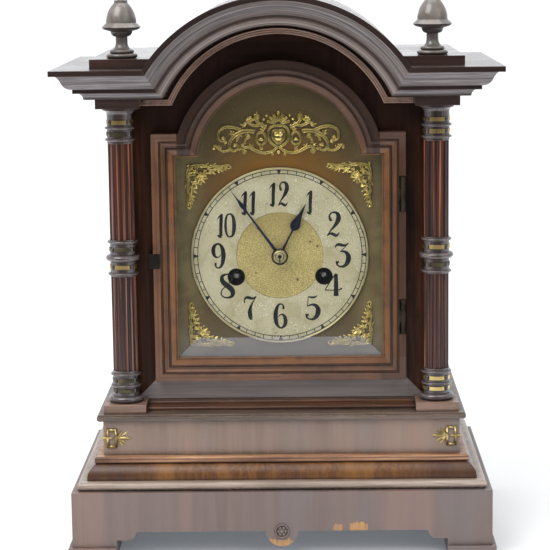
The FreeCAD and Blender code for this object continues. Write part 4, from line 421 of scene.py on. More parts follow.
@dataclass(frozen=True)
class Wood(Finish):
    """Stained and polished wood: figure, fibres and pores, rubbed edges, dirt and painted shade in the quirks, a worn
    shine.
    """

    grain: Grain = Grain.BOARD
    shadow: Colour = (0.02, 0.007, 0.004)
    body: Colour = (0.055, 0.018, 0.01)
    glow: Colour = (0.11, 0.04, 0.02)
    bare: Colour = (0.42, 0.2, 0.09)
    scale: float = 0.16
    stretch: float = 0.05
    roughness: float = 0.38
    polish: float = 0.45
    polish_roughness: float = 0.3
    wear: float = 0.35
    # How strongly dirt and painted shade darken the hollows.
    dirt: float = 0.75
    edge: float = 0.5
    # These four fields paint a grey sheen on the moulding's slopes and hollows, and warm lines of it round the hood's
    # inner arch: a painted reflection.
    bloom: float = 0.0
    bloom_shade: Colour = (0.32, 0.29, 0.305)
    inner_bloom: Colour = (0.3, 0.23, 0.2)
    inner_tone: bool = False
    level: float = 0.5
    streaks: float = 0.6

    def along(self, tree: Tree) -> Socket:
        """Turns the surface point so that the grain's direction comes first.

        Args:
            tree: The material's tree.

        Returns:
            The turned point, in millimetres.
        """
        place = tree.place()
        x, y, z = tree.split(place)
        upright = tree.join(z, x, y)
        if self.grain is Grain.UPRIGHT:
            return upright
        if self.grain is Grain.BOARD:
            normal = tree.vector("ABSOLUTE", tree.add("NewGeometry").outputs["Normal"], (0.0, 0.0, 0.0))
            nx, ny, _ = tree.split(normal)
            return tree.choose(tree.math("GREATER_THAN", nx, ny), place, tree.join(y, x, z))
        centre = SIZES.hood_centre if self.grain is Grain.HOOD else SIZES.door_arch
        rise = tree.minus(z, centre / MM)
        radius = tree.reach(x, rise)
        swept = tree.join(tree.times(tree.math("ARCTAN2", x, rise), 90.0), radius, y)
        if self.grain is Grain.HOOD:
            return swept
        side = tree.bare(x)
        inwards = tree.minus(SIZES.door_half / MM, side)
        above = tree.minus(z, SIZES.door_foot / MM)
        if self.grain is Grain.FRAME:
            stile = tree.math("LESS_THAN", inwards, tree.math("MINIMUM", above, 60.0))
            return tree.choose(stile, place, upright)
        stile = tree.math("LESS_THAN", inwards, above)
        flat = tree.choose(stile, place, upright)
        arched = tree.math("GREATER_THAN", z, SIZES.door_shoulder / MM - 8.0)
        near = tree.math("LESS_THAN", side, 80.0)
        return tree.choose(tree.times(arched, near), flat, swept)

    def slopes(self, tree: Tree) -> Socket:
        """Returns a mask of the moulding's slopes and hollows, which take a painted grey sheen; its flats take none.

        Args:
            tree: The material's tree.

        Returns:
            The mask, 1 on a slope or hollow.
        """
        normal = tree.vector("ABSOLUTE", tree.add("NewGeometry").outputs["True Normal"], (0.0, 0.0, 0.0))
        nx, ny, _ = tree.split(normal)
        facing = ny if self.grain in (Grain.HOOD, Grain.DOOR) else tree.math("MAXIMUM", nx, ny)
        return tree.times(tree.band(facing, 0.86, 0.985, 1.0, 0.0), tree.band(facing, 0.1, 0.3))

    def marks(self, tree: Tree, place: Socket, colour: Socket) -> Socket:
        """Returns the colour with the marks that only some woods have."""
        return colour

    def dress(self, tree: Tree) -> None:
        """Fills the wood's tree.

        Args:
            tree: The material's tree.
        """
        along = self.along(tree)
        place = tree.place()
        grain = Effect.use(tree, "wood_grain", Vector=along, Scale=self.scale, Stretch=self.stretch)
        cloud = Effect.use(tree, "patina", Vector=place, Scale=0.016)
        edge = Effect.use(tree, "rubbed_edges", Vector=place, Radius=self.edge * MM, Reach=self.wear)
        dirt = Effect.use(tree, "grime_and_shade", Vector=place, Reach=0.006, Amount=self.dirt)
        figure = tree.ramp(grain["Figure"], [(0.0, self.shadow), (0.5, self.body), (1.0, self.glow)])
        streak = tree.mix(tree.band(grain["Fibre"], 0.35, 0.7, 0.0, self.streaks), figure, self.shadow)
        cloudy = tree.mix(tree.band(cloud["Cloud"], 0.0, 1.0, 0.0, 0.45), streak, self.body)
        pored = tree.mix(tree.times(grain["Pores"], 0.5), cloudy, self.shadow)
        # Painted sheen: warm lines of it round the inner part of the hood's arch.
        if self.grain is Grain.HOOD and self.inner_tone:
            _, radius, _ = tree.split(along)
            top = (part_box("cornice_arch")[1].z - SIZES.hood_centre) / MM
            lines = tree.noise(tree.join(radius, 0.0, 0.0), 1.1, 1.0, 0.6)
            inner = tree.times(tree.band(radius, top - 23.0, top - 12.0, 0.9, 0.0), tree.band(lines, 0.4, 0.56))
            pored = tree.mix(inner, pored, self.inner_bloom)
        # Painted sheen: a grey reflection painted on the slopes and hollows.
        if self.bloom:
            uneven = tree.band(grain["Fibre"], 0.38, 0.62, self.bloom, self.bloom * 0.35)
            shade = self.bloom_shade
            if self.grain is Grain.HOOD:
                _, radius, _ = tree.split(along)
                line = tree.noise(tree.join(radius, 0.0, 0.0), 0.9, 2.0, 0.6)
                uneven = tree.times(uneven, tree.band(line, 0.42, 0.56, 1.0, 0.45))
                top = (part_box("cornice_arch")[1].z - SIZES.hood_centre) / MM
                shade = tree.mix(
                    tree.band(radius, top - 26.0, top - 14.0, 1.0, 0.0), self.bloom_shade, self.inner_bloom)
            pored = tree.mix(tree.times(self.slopes(tree), uneven), pored, shade)
        # Dirt and painted shade in the hollows, from the ambient-occlusion mask.
        soiled_and_shaded = tree.mix(dirt["Mask"], pored, tuple(c * 0.25 for c in self.shadow))
        worn = tree.mix(edge["Mask"], soiled_and_shaded, self.bare)
        tree.paint("Base Color", self.marks(tree, place, worn))
        rough = tree.math("MULTIPLY_ADD", grain["Fibre"], 0.16, self.roughness - 0.08)
        tree.paint("Roughness", tree.math("MULTIPLY_ADD", dirt["Mask"], 0.25, rough))
        shine = tree.times(tree.band(cloud["Cloud"], 0.0, 1.0, 0.7, 1.0), self.polish)
        tree.paint("Coat Weight", tree.minus(shine, tree.times(dirt["Mask"], 0.4)))
        tree.paint("Coat Roughness", self.polish_roughness)
        tree.paint("Specular IOR Level", self.level)
        relief = tree.minus(grain["Fibre"], tree.times(grain["Pores"], 0.7))
        tree.paint("Normal", tree.bump(relief, 0.05, 0.7, edge["Normal"]))


@dataclass(frozen=True)
class Veneer(Wood):
    """Straight veneer in broad faded leaves, chipped along the apron's lower edge to the pale wood under it."""

    leaf: float = 62.0
    pink: Colour = (0.3, 0.2, 0.155)
    grey: Colour = (0.15, 0.14, 0.14)
    chip: Colour = (0.62, 0.33, 0.12)
    ends: float = 0.0
    chips: tuple[tuple[float, float, float], ...] = ()

    def marks(self, tree: Tree, place: Socket, colour: Socket) -> Socket:
        """Returns the colour with faded leaves and chips.

        Args:
            tree: The material's tree.
            place: The surface point, in millimetres.
            colour: The wood's colour so far.

        Returns:
            The colour with the marks.
        """
        x, y, z = tree.split(place)
        leaf = tree.noise(tree.join(tree.math("DIVIDE", x, self.leaf), 0.0, 0.0), 1.0, 2.0, 0.6)
        drift = tree.noise(tree.vector("MULTIPLY", place, (0.02, 0.02, 0.004)), 1.0, 3.0, 0.6)
        faded = tree.mix(tree.band(leaf, 0.48, 0.62, 0.0, 0.4), colour, self.pink)
        fleck = tree.noise(tree.vector("MULTIPLY", place, (1.0, 1.0, 0.07)), 0.9, 2.0, 0.5)
        faded = tree.mix(tree.band(fleck, 0.6, 0.72, 0.0, 0.3), faded, self.shadow)
        ended = tree.band(tree.bare(x), 85.0, 130.0, 0.0, self.ends)
        faded = tree.mix(tree.math("MAXIMUM", tree.band(drift, 0.5, 0.68, 0.0, 0.5), ended), faded, self.grey)
        ragged = tree.noise(place, 0.5, 2.0)
        splinter = tree.noise(tree.vector("MULTIPLY", place, (1.0, 1.0, 0.12)), 0.8, 2.0)
        front = tree.math("LESS_THAN", y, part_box("front_apron")[0].y / MM + 1.0)
        for middle, half, top in self.chips:
            off = tree.bare(tree.minus(x, middle))
            wide = tree.math("LESS_THAN", tree.math("MULTIPLY_ADD", ragged, 3.0, off), half + 1.5)
            low = tree.math("LESS_THAN", tree.math("MULTIPLY_ADD", splinter, 9.0, z), top + 4.0)
            chipped = tree.times(tree.times(wide, low), front)
            faded = tree.mix(tree.times(chipped, tree.band(splinter, 0.3, 0.65, 1.0, 0.55)), faded, self.chip)
        return faded


@dataclass(frozen=True)
class FrameWood(Wood):
    """The case front's wood: dark stiles and a greyer bottom rail, with the joint between them showing, and painted
    shadow over its head under the cornice.
    """

    rail: Colour = (0.13, 0.105, 0.1)

    def marks(self, tree: Tree, place: Socket, colour: Socket) -> Socket:
        """Returns the colour with the rail, its joints and the painted shadow over the head.

        Args:
            tree: The material's tree.
            place: The surface point, in millimetres.
            colour: The wood's colour so far.

        Returns:
            The colour with the marks.
        """
        x, _, z = tree.split(place)
        below = tree.minus(SIZES.door_foot / MM, z)
        outside = tree.minus(tree.bare(x), SIZES.door_half / MM)
        beyond = tree.minus(below, outside)
        tone = tree.noise(tree.vector("MULTIPLY", place, (0.02, 1.0, 0.5)), 1.0, 3.0)
        rail = tree.mix(tree.band(tone, 0.3, 0.7, 0.0, 0.5), self.rail, tuple(c * 0.6 for c in self.rail))
        _, front, _ = tree.split(tree.add("NewGeometry").outputs["True Normal"])
        facing = tree.math("LESS_THAN", front, -0.5)
        railed = tree.mix(tree.times(tree.band(beyond, -0.2, 0.2), facing), colour, rail)
        joint = tree.band(tree.bare(beyond), 0.15, 0.45, 0.8, 0.0)
        low = tree.math("GREATER_THAN", below, 0.0)
        jointed = tree.mix(tree.times(joint, low), railed, self.shadow)
        # Painted shadow of the cornice over the head of the front.
        shoulder = SIZES.door_shoulder / MM
        return tree.mix(tree.band(z, shoulder - 12.0, shoulder + 16.0, 0.0, 0.75), jointed, self.shadow)


@dataclass(frozen=True)
class DoorWood(Wood):
    """The door's wood: each run of its moulding has its own tone, from painted shade in the quirks to orange slopes
    that are partly rubbed and partly painted light.
    """

    orange: Colour = (0.38, 0.15, 0.038)
    dusk: Colour = (0.15, 0.105, 0.095)
    runs: tuple[tuple[float, float], ...] = (
        (0.0, 0.3), (5.2, 0.35), (5.6, 0.0), (6.9, 0.02), (7.4, 0.45), (10.4, 0.3), (10.9, 0.0), (12.4, 0.05),
        (12.9, 0.55), (16.0, 0.7), (16.7, 0.4), (18.0, 0.75))
    width: float = 18.0
    arch_half: float = 79.0
    arch_start: float = 17.0

    def marks(self, tree: Tree, place: Socket, colour: Socket) -> Socket:
        """Returns the colour with the moulding's tones, painted light and shade among them; the arch is darker with
        painted shadow and its edges greyer with a painted sheen.

        Args:
            tree: The material's tree.
            place: The surface point, in millimetres.
            colour: The wood's colour so far.

        Returns:
            The colour with the marks.
        """
        x, _, z = tree.split(place)
        side = tree.bare(x)
        rise = tree.minus(z, SIZES.door_arch / MM)
        radius = tree.reach(x, rise)
        arched = tree.times(tree.math("GREATER_THAN", z, SIZES.door_shoulder / MM - self.arch_start),
                           tree.math("LESS_THAN", side, self.arch_half))
        straight = tree.math("MINIMUM", tree.minus(SIZES.door_half / MM, side), tree.minus(z, SIZES.door_foot / MM))
        shoulder = tree.math("MINIMUM", straight, tree.minus(SIZES.door_shoulder / MM, z))
        round_in = tree.minus(DOOR_RADIUS, radius)
        inset = tree.add("Mix", {0: arched, 2: shoulder, 3: round_in}, data_type="FLOAT").outputs[0]
        # The runs' tones are painted light and shade: low ones put painted shade in the quirks, high ones light the
        # slopes orange, partly rubbed wood and partly painted light.
        tone = tree.ramp(
            tree.math("DIVIDE", inset, self.width), [(at / self.width, (level,) * 3) for at, level in self.runs])
        strength, _, _ = tree.split(tone)
        lively = tree.times(strength, tree.band(tree.noise(place, 0.06, 3.0), 0.3, 0.6, 0.45, 1.0))
        warm = tree.mix(tree.times(lively, 0.75), colour, self.orange)
        quirk = tree.mix(tree.band(strength, 0.0, 0.2, 0.75, 0.0), warm, self.shadow)
        # Painted shade on the outer run of the right-hand stile.
        right_stile_shade = tree.times(tree.band(x, 78.0, 80.0), tree.band(inset, 5.0, 6.5, 0.6, 0.15))
        quirk = tree.mix(right_stile_shade, quirk, self.shadow)
        # A painted grey sheen on the strong runs near the shoulders and, faintly, on the bottom rail.
        level_run = tree.math("LESS_THAN", tree.minus(z, SIZES.door_foot / MM), self.width)
        upper = tree.band(z, SIZES.door_shoulder / MM - 20.0, SIZES.door_shoulder / MM - 4.0, 0.0, 0.3)
        sheened = tree.mix(
            tree.times(tree.math("MAXIMUM", upper, tree.times(level_run, 0.2)), tree.band(strength, 0.0, 0.3)), quirk,
            self.dusk)
        fine = tree.noise(tree.join(inset, 0.0, tree.math("SIGN", x)), 1.3, 2.0, 0.6)
        lined = tree.mix(tree.band(fine, 0.5, 0.62, 0.0, 0.4), sheened, self.shadow)
        # Painted shadow over the arch, which lies under the hood.
        return tree.mix(tree.times(arched, tree.band(inset, 6.5, 12.0, 0.86, 0.4)), lined, self.shadow)


@dataclass(frozen=True)
class FilletWood(Wood):
    """The moulding under the pedestal: a rubbed bead above a quirk dark with painted shade, and a golden edge under
    it; darker at its foot.
    """

    runs: tuple[tuple[float, float], ...] = (
        (0.0, 0.85), (0.2, 0.8), (0.3, 0.1), (0.52, 0.05), (0.6, 0.75), (0.68, 0.7), (0.74, 0.0))

    def marks(self, tree: Tree, place: Socket, colour: Socket) -> Socket:
        """Returns the colour with painted shade in the quirk along the moulding, and darker at its foot.

        Args:
            tree: The material's tree.
            place: The surface point, in millimetres.
            colour: The wood's colour so far.

        Returns:
            The colour with the marks.
        """
        low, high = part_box("cushion_fillet")
        _, _, z = tree.split(place)
        rise = tree.math("DIVIDE", tree.minus(z, low.z / MM), (high.z - low.z) / MM)
        # Painted shade in the quirk, and darker at the foot.
        depth = tree.ramp(rise, [(spot, (dark, dark, dark)) for spot, dark in self.runs])
        return tree.mix(depth, colour, tuple(c * 0.6 for c in self.shadow))


@dataclass(frozen=True)
class FinialWood(Wood):
    """The finials' grey wood, with painted shade on the undersides where a turning overhangs."""

    def marks(self, tree: Tree, place: Socket, colour: Socket) -> Socket:
        """Returns the colour with painted shade on the undersides."""
        # Painted shade on the faces that look down.
        _, _, lift = tree.split(tree.add("NewGeometry").outputs["True Normal"])
        return tree.mix(tree.band(lift, -0.45, 0.15, 0.75, 0.0), colour, tuple(c * 0.4 for c in self.shadow))


@dataclass(frozen=True)
class ShaftWood(Wood):
    """The half columns' wood: upright stripes of orange-brown, painted lilac-grey sheen and painted shade run round
    it, and painted shade darkens its flutes.
    """

    orange: Colour = (0.36, 0.1, 0.038)
    lilac: Colour = (0.21, 0.16, 0.17)

    def marks(self, tree: Tree, place: Socket, colour: Socket) -> Socket:
        """Returns the colour with upright stripes round each shaft, painted sheen and shade among them, and painted
        shade in the flutes.

        Args:
            tree: The material's tree.
            place: The surface point, in millimetres.
            colour: The wood's colour so far.

        Returns:
            The colour with the marks.
        """
        x, y, z = tree.split(place)
        low, high = (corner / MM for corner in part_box("column_shafts"))
        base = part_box("column_bases")
        middle = base[1].x / MM - BASE_RADIUS
        side = tree.minus(tree.bare(x), middle)
        front = tree.minus(y, (low.y + high.y) / 2)
        angle = tree.math("ARCTAN2", side, front)
        turn = tree.math("MULTIPLY_ADD", tree.math("SIGN", x), 40.0, tree.times(angle, 5.5))
        stripes = tree.join(turn, tree.times(z, 0.006), 0.0)
        warm = tree.noise(stripes, 0.8, 3.0, 0.6)
        sheen_stripes = tree.noise(tree.vector("ADD", stripes, (17.0, 3.0, 5.0)), 1.0, 2.0, 0.6)
        radius = tree.reach(side, front)
        striped = tree.mix(tree.band(warm, 0.44, 0.58, 0.0, 0.9), colour, self.orange)
        # Painted sheen: lilac-grey stripes of reflection.
        striped = tree.mix(tree.band(sheen_stripes, 0.54, 0.64, 0.0, 0.55), striped, self.lilac)
        # Painted shade: near-black stripes between the flutes.
        dark = tree.noise(tree.vector("ADD", stripes, (5.0, 11.0, 2.0)), 1.5, 1.0)
        striped = tree.mix(tree.band(dark, 0.5, 0.6, 0.0, 0.75), striped, self.shadow)
        # Painted shade inside the flutes.
        return tree.mix(tree.band(radius, 9.1, 9.7, 0.8, 0.0), striped, self.shadow)


@dataclass(frozen=True)
class Metal(Finish):
    """Metal with a cloudy tarnish, specks, dirt and painted shade in its hollows, and bright rubbed edges."""

    bright: Colour = (0.85, 0.62, 0.25)
    tarnish: Colour = (0.3, 0.19, 0.07)
    soil: Colour = (0.03, 0.02, 0.01)
    roughness: float = 0.3
    tarnished: float = 0.5
    # How strongly dirt and painted shade darken the hollows.
    dirt: float = 0.8
    specks: float = 0.3
    scale: float = 0.05
    edge: float = 0.15

    def dress(self, tree: Tree) -> None:
        """Fills the metal's tree.

        Args:
            tree: The material's tree.
        """
        place = tree.place()
        cloud = Effect.use(tree, "patina", Vector=place, Scale=self.scale)
        edge = Effect.use(tree, "rubbed_edges", Vector=place, Radius=self.edge * MM, Reach=0.8)
        dirt = Effect.use(tree, "grime_and_shade", Vector=place, Reach=0.002, Amount=self.dirt)
        colour = tree.mix(tree.times(cloud["Cloud"], self.tarnished), self.bright, self.tarnish)
        colour = tree.mix(tree.times(cloud["Specks"], self.specks), colour, self.soil)
        # Dirt and painted shade in the hollows.
        colour = tree.mix(dirt["Mask"], colour, self.soil)
        tree.paint("Base Color", tree.mix(edge["Mask"], colour, self.bright))
        tree.paint("Metallic", 1.0)
        rough = tree.math("MULTIPLY_ADD", cloud["Cloud"], 0.15, self.roughness)
        tree.paint("Roughness", tree.math("MULTIPLY_ADD", dirt["Mask"], 0.3, rough))
        fine = tree.noise(place, 3.0, 2.0)
        tree.paint("Normal", tree.bump(fine, 0.02, 0.5, edge["Normal"]))


@dataclass(frozen=True)
class EngravedBrass(Finish):
    """The dial plate: browned brass with worn scroll engraving, cloudy tarnish and fine scratches."""

    bright: Colour = (0.262, 0.112, 0.012)
    dull: Colour = (0.118, 0.08, 0.035)
    pale: Colour = (0.32, 0.25, 0.12)
    line: Colour = (0.04, 0.026, 0.01)

    def dress(self, tree: Tree) -> None:
        """Fills the plate's tree.

        Args:
            tree: The material's tree.
        """
        place = tree.place()
        x, _, z = tree.split(place)
        rise = tree.minus(z, SIZES.dial_centre / MM + 48.0)
        across = tree.times(x, 0.9)
        reach = tree.reach(across, rise)
        warm = tree.band(reach, 18.0, 66.0, 1.0, 0.0)
        cloud = Effect.use(tree, "patina", Vector=place, Scale=0.03)
        scroll = Effect.use(tree, "engraved_scroll", Vector=place, Scale=0.12)
        dirt = Effect.use(tree, "grime_and_shade", Vector=place, Reach=0.004, Amount=0.8)
        outer = tree.band(tree.bare(x), 52.0, 76.0, 0.0, 0.65)
        ground = tree.mix(tree.times(outer, tree.band(cloud["Cloud"], 0.0, 1.0, 1.0, 0.4)), self.dull, self.pale)
        colour = tree.mix(tree.times(warm, tree.band(cloud["Cloud"], 0.0, 1.0, 1.0, 0.75)), ground, self.bright)
        colour = tree.mix(tree.times(scroll["Line"], tree.band(warm, 0.0, 0.6, 0.12, 0.0)), colour, self.pale)
        colour = tree.mix(tree.times(cloud["Specks"], 0.4), colour, self.line)
        # Dirt and painted shade in the plate's hollows.
        tree.paint("Base Color", tree.mix(dirt["Mask"], colour, self.line))
        tree.paint("Metallic", 0.3)
        tree.paint("Specular IOR Level", 0.15)
        tree.paint("Roughness", tree.math("MULTIPLY_ADD", cloud["Cloud"], 0.2, 0.32))
        scratch = tree.noise(tree.vector("MULTIPLY", place, (0.2, 1.0, 3.0)), 1.4, 3.0, 0.7)
        height = tree.minus(tree.times(scratch, 0.3), scroll["Line"])
        tree.paint("Normal", tree.bump(height, 0.03, 0.4))


@dataclass(frozen=True)
class SilveredBrass(Finish):
    """The chapter ring: cream silvering with pale feather engraving, yellowed patches and specks."""

    pale: Colour = (0.56, 0.49, 0.33)
    yellow: Colour = (0.4, 0.345, 0.19)
    line: Colour = (0.2, 0.18, 0.1)

    def dress(self, tree: Tree) -> None:
        """Fills the ring's tree.

        Args:
            tree: The material's tree.
        """
        place = tree.place()
        cloud = Effect.use(tree, "patina", Vector=place, Scale=0.045)
        scroll = Effect.use(tree, "engraved_scroll", Vector=place, Scale=0.13)
        x, _, z = tree.split(place)
        rise = tree.minus(z, SIZES.dial_centre / MM)
        radius = tree.reach(x, rise)
        worn = tree.band(radius, 60.0, 70.0)
        colour = tree.mix(tree.times(cloud["Cloud"], 0.7), self.pale, self.yellow)
        feather = tree.noise(tree.vector("ADD", place, (31.0, 0.0, 9.0)), 0.05, 2.0)
        engraved = tree.times(scroll["Line"], tree.band(feather, 0.4, 0.52))
        colour = tree.mix(tree.times(engraved, 0.85), colour, (0.72, 0.69, 0.54))
        edge_line = tree.times(tree.band(engraved, 0.05, 0.25), tree.band(engraved, 0.25, 0.5, 1.0, 0.0))
        colour = tree.mix(tree.times(edge_line, 0.8), colour, self.line)
        colour = tree.mix(tree.times(cloud["Specks"], 0.75), colour, self.line)
        colour = tree.mix(tree.times(worn, tree.times(cloud["Cloud"], 0.5)), colour, self.yellow)
        tree.paint("Base Color", colour)
        tree.paint("Metallic", 0.05)
        tree.paint("Specular IOR Level", 0.25)
        tree.paint("Roughness", tree.math("MULTIPLY_ADD", cloud["Cloud"], 0.12, 0.42))
        height = tree.math("MULTIPLY_ADD", scroll["Line"], -1.0, tree.noise(place, 1.2, 3.0))
        tree.paint("Normal", tree.bump(height, 0.09, 0.8))


@dataclass(frozen=True)
class FrostedGold(Finish):
    """The dial's centre: matt stippled gilding with dark spots where it has worn, and painted shade darkening it
    towards the top.
    """

    gold: Colour = (0.66, 0.535, 0.215)
    deep: Colour = (0.3, 0.22, 0.075)
    spot: Colour = (0.08, 0.055, 0.02)

    def dress(self, tree: Tree) -> None:
        """Fills the disc's tree.

        Args:
            tree: The material's tree.
        """
        place = tree.place()
        cloud = Effect.use(tree, "patina", Vector=place, Scale=0.06)
        stipple = tree.add("TexVoronoi", {"Vector": place, "Scale": 1.15}, feature="F1").outputs["Distance"]
        pits = tree.add("TexVoronoi", {"Vector": place, "Scale": 0.085}, feature="F1").outputs["Distance"]
        colour = tree.mix(tree.band(stipple, 0.2, 0.7, 0.1, 1.0), self.deep, self.gold)
        _, _, z = tree.split(place)
        # Painted shade: the disc darkens towards its top.
        shade = tree.band(tree.minus(z, SIZES.dial_centre / MM), 2.0, 34.0, 0.0, 0.55)
        grains = tree.band(tree.noise(place, 1.1, 2.0), 0.55, 0.7, 0.0, 0.6)
        colour = tree.mix(tree.math("MAXIMUM", shade, tree.times(cloud["Cloud"], 0.3)), colour, self.deep)
        colour = tree.mix(grains, colour, self.deep)
        colour = tree.mix(tree.band(pits, 0.06, 0.13, 0.85, 0.0), colour, self.spot)
        colour = tree.mix(tree.times(cloud["Specks"], 0.6), colour, self.spot)
        tree.paint("Base Color", colour)
        tree.paint("Metallic", 0.25)
        tree.paint("Roughness", tree.math("MULTIPLY_ADD", cloud["Cloud"], 0.1, 0.48))
        tree.paint("Normal", tree.bump(stipple, 0.12, 0.6))


@dataclass(frozen=True)
class Glass(Finish):
    """Clear plate glass that lets light through to the dial, with a painted grey reflection on its lower front bevel.
    """

    def dress(self, tree: Tree) -> None:
        """Fills the glass's tree.

        Args:
            tree: The material's tree.
        """
        tree.paint("Base Color", (0.98, 1.0, 0.99, 1.0))
        tree.paint("Transmission Weight", 1.0)
        tree.paint("IOR", 1.5)
        place = tree.place()
        dust = tree.noise(place, 0.5, 4.0, 0.7)
        tree.paint("Roughness", tree.band(dust, 0.55, 0.9, 0.0, 0.06))
        tree.paint("Normal", tree.bump(tree.noise(place, 0.03, 2.0), 0.02, 0.15))
        rays = tree.add("LightPath")
        clear = tree.add("BsdfTransparent", {0: (0.95, 0.96, 0.95)})
        passing = tree.math("MAXIMUM", rays.outputs["Is Shadow Ray"], rays.outputs["Is Diffuse Ray"])
        # A painted grey reflection on the lower front bevel, mixed in as a grey diffuse shader.
        _, ny, nz = tree.split(tree.add("NewGeometry").outputs["True Normal"])
        front = tree.math("LESS_THAN", ny, -0.5)
        lower = tree.times(tree.math("LESS_THAN", nz, -0.06), 0.4)
        glint_mask = tree.times(
            tree.times(lower, front),
            tree.band(tree.noise(tree.vector("MULTIPLY", place, (0.03, 1.0, 0.3)), 1.0, 3.0), 0.3, 0.6, 0.8, 1.0))
        painted_glint = tree.add("BsdfDiffuse", {0: (0.33, 0.33, 0.35)})
        glinted = tree.add("MixShader", {0: glint_mask, 1: tree.shader.outputs[0], 2: painted_glint.outputs[0]})
        both = tree.add("MixShader", {0: passing, 1: glinted.outputs[0], 2: clear.outputs[0]})
        tree.feed(tree.output.inputs[0], both.outputs[0])


@dataclass(frozen=True)
class Enamel(Finish):
    """Worn black filling of the numerals and the minute track."""

    ink: Colour = (0.004, 0.005, 0.008)
    faded: Colour = (0.03, 0.034, 0.036)

    def dress(self, tree: Tree) -> None:
        """Fills the enamel's tree.

        Args:
            tree: The material's tree.
        """
        place = tree.place()
        cloud = Effect.use(tree, "patina", Vector=place, Scale=0.12)
        colour = tree.mix(tree.times(cloud["Cloud"], 0.45), self.ink, self.faded)
        tree.paint("Base Color", tree.mix(tree.times(cloud["Specks"], 0.6), colour, (0.2, 0.19, 0.13)))
        tree.paint("Specular IOR Level", 0.2)
        tree.paint("Roughness", tree.math("MULTIPLY_ADD", cloud["Cloud"], 0.2, 0.4))
        tree.paint("Normal", tree.bump(tree.noise(place, 2.0, 2.0), 0.02, 0.4))


@dataclass(frozen=True)
class PlainFloor(Finish):
    """The pale matt sweep that the clock stands on."""

    shade: Colour = (0.92, 0.93, 0.94)
    # The colour of the painted light that the floor gives off under the clock.
    glow: Colour = (0.72, 0.85, 1.0)

    def dress(self, tree: Tree) -> None:
        """Fills the floor's tree: clear from its back, in reflections it ends a little way before the clock, and under
        the clock it glows with painted light.

        Args:
            tree: The material's tree.
        """
        place = tree.place()
        x, y, _ = tree.split(place)
        tone = tree.noise(place, 0.004, 2.0)
        plain = tree.mix(tone, self.shade, tuple(c * 0.97 for c in self.shade))
        far = tree.band(y, -1100.0, -500.0, 1.0, 0.0)
        seen = tree.add("LightPath").outputs["Is Glossy Ray"]
        tree.paint("Base Color", tree.mix(tree.times(far, seen), plain, (0.03, 0.03, 0.03)))
        tree.paint("Roughness", 0.6)
        # Painted light: the floor glows more under the clock.
        under = tree.times(
            tree.band(tree.bare(x), 110.0, 170.0, 1.0, 0.0), tree.band(tree.bare(y), 85.0, 130.0, 1.0, 0.0))
        tree.paint("Emission Color", self.glow)
        tree.paint("Emission Strength", tree.math("MULTIPLY_ADD", under, 0.08, 0.05))
        back = tree.add("NewGeometry").outputs["Backfacing"]
        clear = tree.add("BsdfTransparent")
        seen_through = tree.add("MixShader", {0: back, 1: tree.shader.outputs[0], 2: clear.outputs[0]})
        tree.feed(tree.output.inputs[0], seen_through.outputs[0])


# The hood's wood, with a painted grey sheen on the slopes of its mouldings.
HOOD_SHADES = {"shadow": (0.016, 0.006, 0.004), "body": (0.028, 0.012, 0.008), "glow": (0.06, 0.026, 0.018),
               "bloom": 0.66, "polish": 0.75, "polish_roughness": 0.12}
CASE_FRONT = FrameWood(
    "case_front_wood", "case_wood", Grain.FRAME, shadow=(0.012, 0.004, 0.002), body=(0.054, 0.016, 0.006),
    glow=(0.11, 0.033, 0.011), bare=(0.2, 0.08, 0.04), wear=0.15, polish=0.06, level=0.18, rail=(0.33, 0.285, 0.28))
CASE_BOARDS = Wood(
    "case_board_wood", "case_wood", Grain.BOARD, shadow=(0.018, 0.008, 0.006), body=(0.048, 0.022, 0.016),
    glow=(0.09, 0.04, 0.028), polish=0.8, polish_roughness=0.1)
CASE_SIDES = Wood(
    "case_side_wood", "case_wood", Grain.UPRIGHT, shadow=(0.014, 0.005, 0.003), body=(0.045, 0.016, 0.009),
    glow=(0.09, 0.033, 0.017), scale=0.1)
MOULDING = Wood("moulding_polish", "moulding_wood", Grain.BOARD, **HOOD_SHADES)
HOOD_MOULDING = Wood("hood_moulding_wood", "moulding_wood", Grain.HOOD, inner_tone=True,
                     **HOOD_SHADES | {"shadow": (0.012, 0.005, 0.004), "body": (0.026, 0.012, 0.009),
                                      "glow": (0.055, 0.027, 0.02), "bloom_shade": (0.33, 0.275, 0.27)})
SILL = Wood("sill_wood", "moulding_wood", Grain.BOARD, shadow=(0.022, 0.007, 0.003), body=(0.095, 0.034, 0.013),
            glow=(0.2, 0.08, 0.028), bare=(0.5, 0.3, 0.18), polish=0.25, dirt=1.0)
CAP = Wood("pedestal_cap_wood", "moulding_wood", Grain.BOARD, shadow=(0.04, 0.025, 0.017), body=(0.12, 0.08, 0.057),
           glow=(0.19, 0.13, 0.095), bare=(0.5, 0.3, 0.18), wear=0.6, bloom=0.4)
BEAD = Wood("frieze_bead_wood", "moulding_wood", Grain.HOOD, shadow=(0.12, 0.055, 0.036), body=(0.46, 0.27, 0.2),
            glow=(0.66, 0.45, 0.36), bare=(0.6, 0.42, 0.3), wear=0.8, bloom=0.6)
DOOR = DoorWood("door_wood", "moulding_wood", Grain.DOOR, shadow=(0.02, 0.007, 0.004), body=(0.095, 0.045, 0.028),
                glow=(0.17, 0.085, 0.05), bare=(0.55, 0.28, 0.12), wear=0.7, dirt=1.0, polish=0.3, level=0.35)
VENEER = Veneer(
    "apron_veneer", "veneer", Grain.UPRIGHT, shadow=(0.155, 0.112, 0.1), body=(0.178, 0.129, 0.116),
    glow=(0.195, 0.14, 0.126), bare=(0.6, 0.34, 0.14), scale=0.12, stretch=0.05, roughness=0.45, polish=0.35,
    streaks=0.15, chip=(0.5, 0.26, 0.09), pink=(0.3, 0.18, 0.14), grey=(0.165, 0.15, 0.15),
    chips=((-0.5, 12.4, 13.6), (43.5, 3.4, 26.5), (60.0, 7.0, 26.5)))
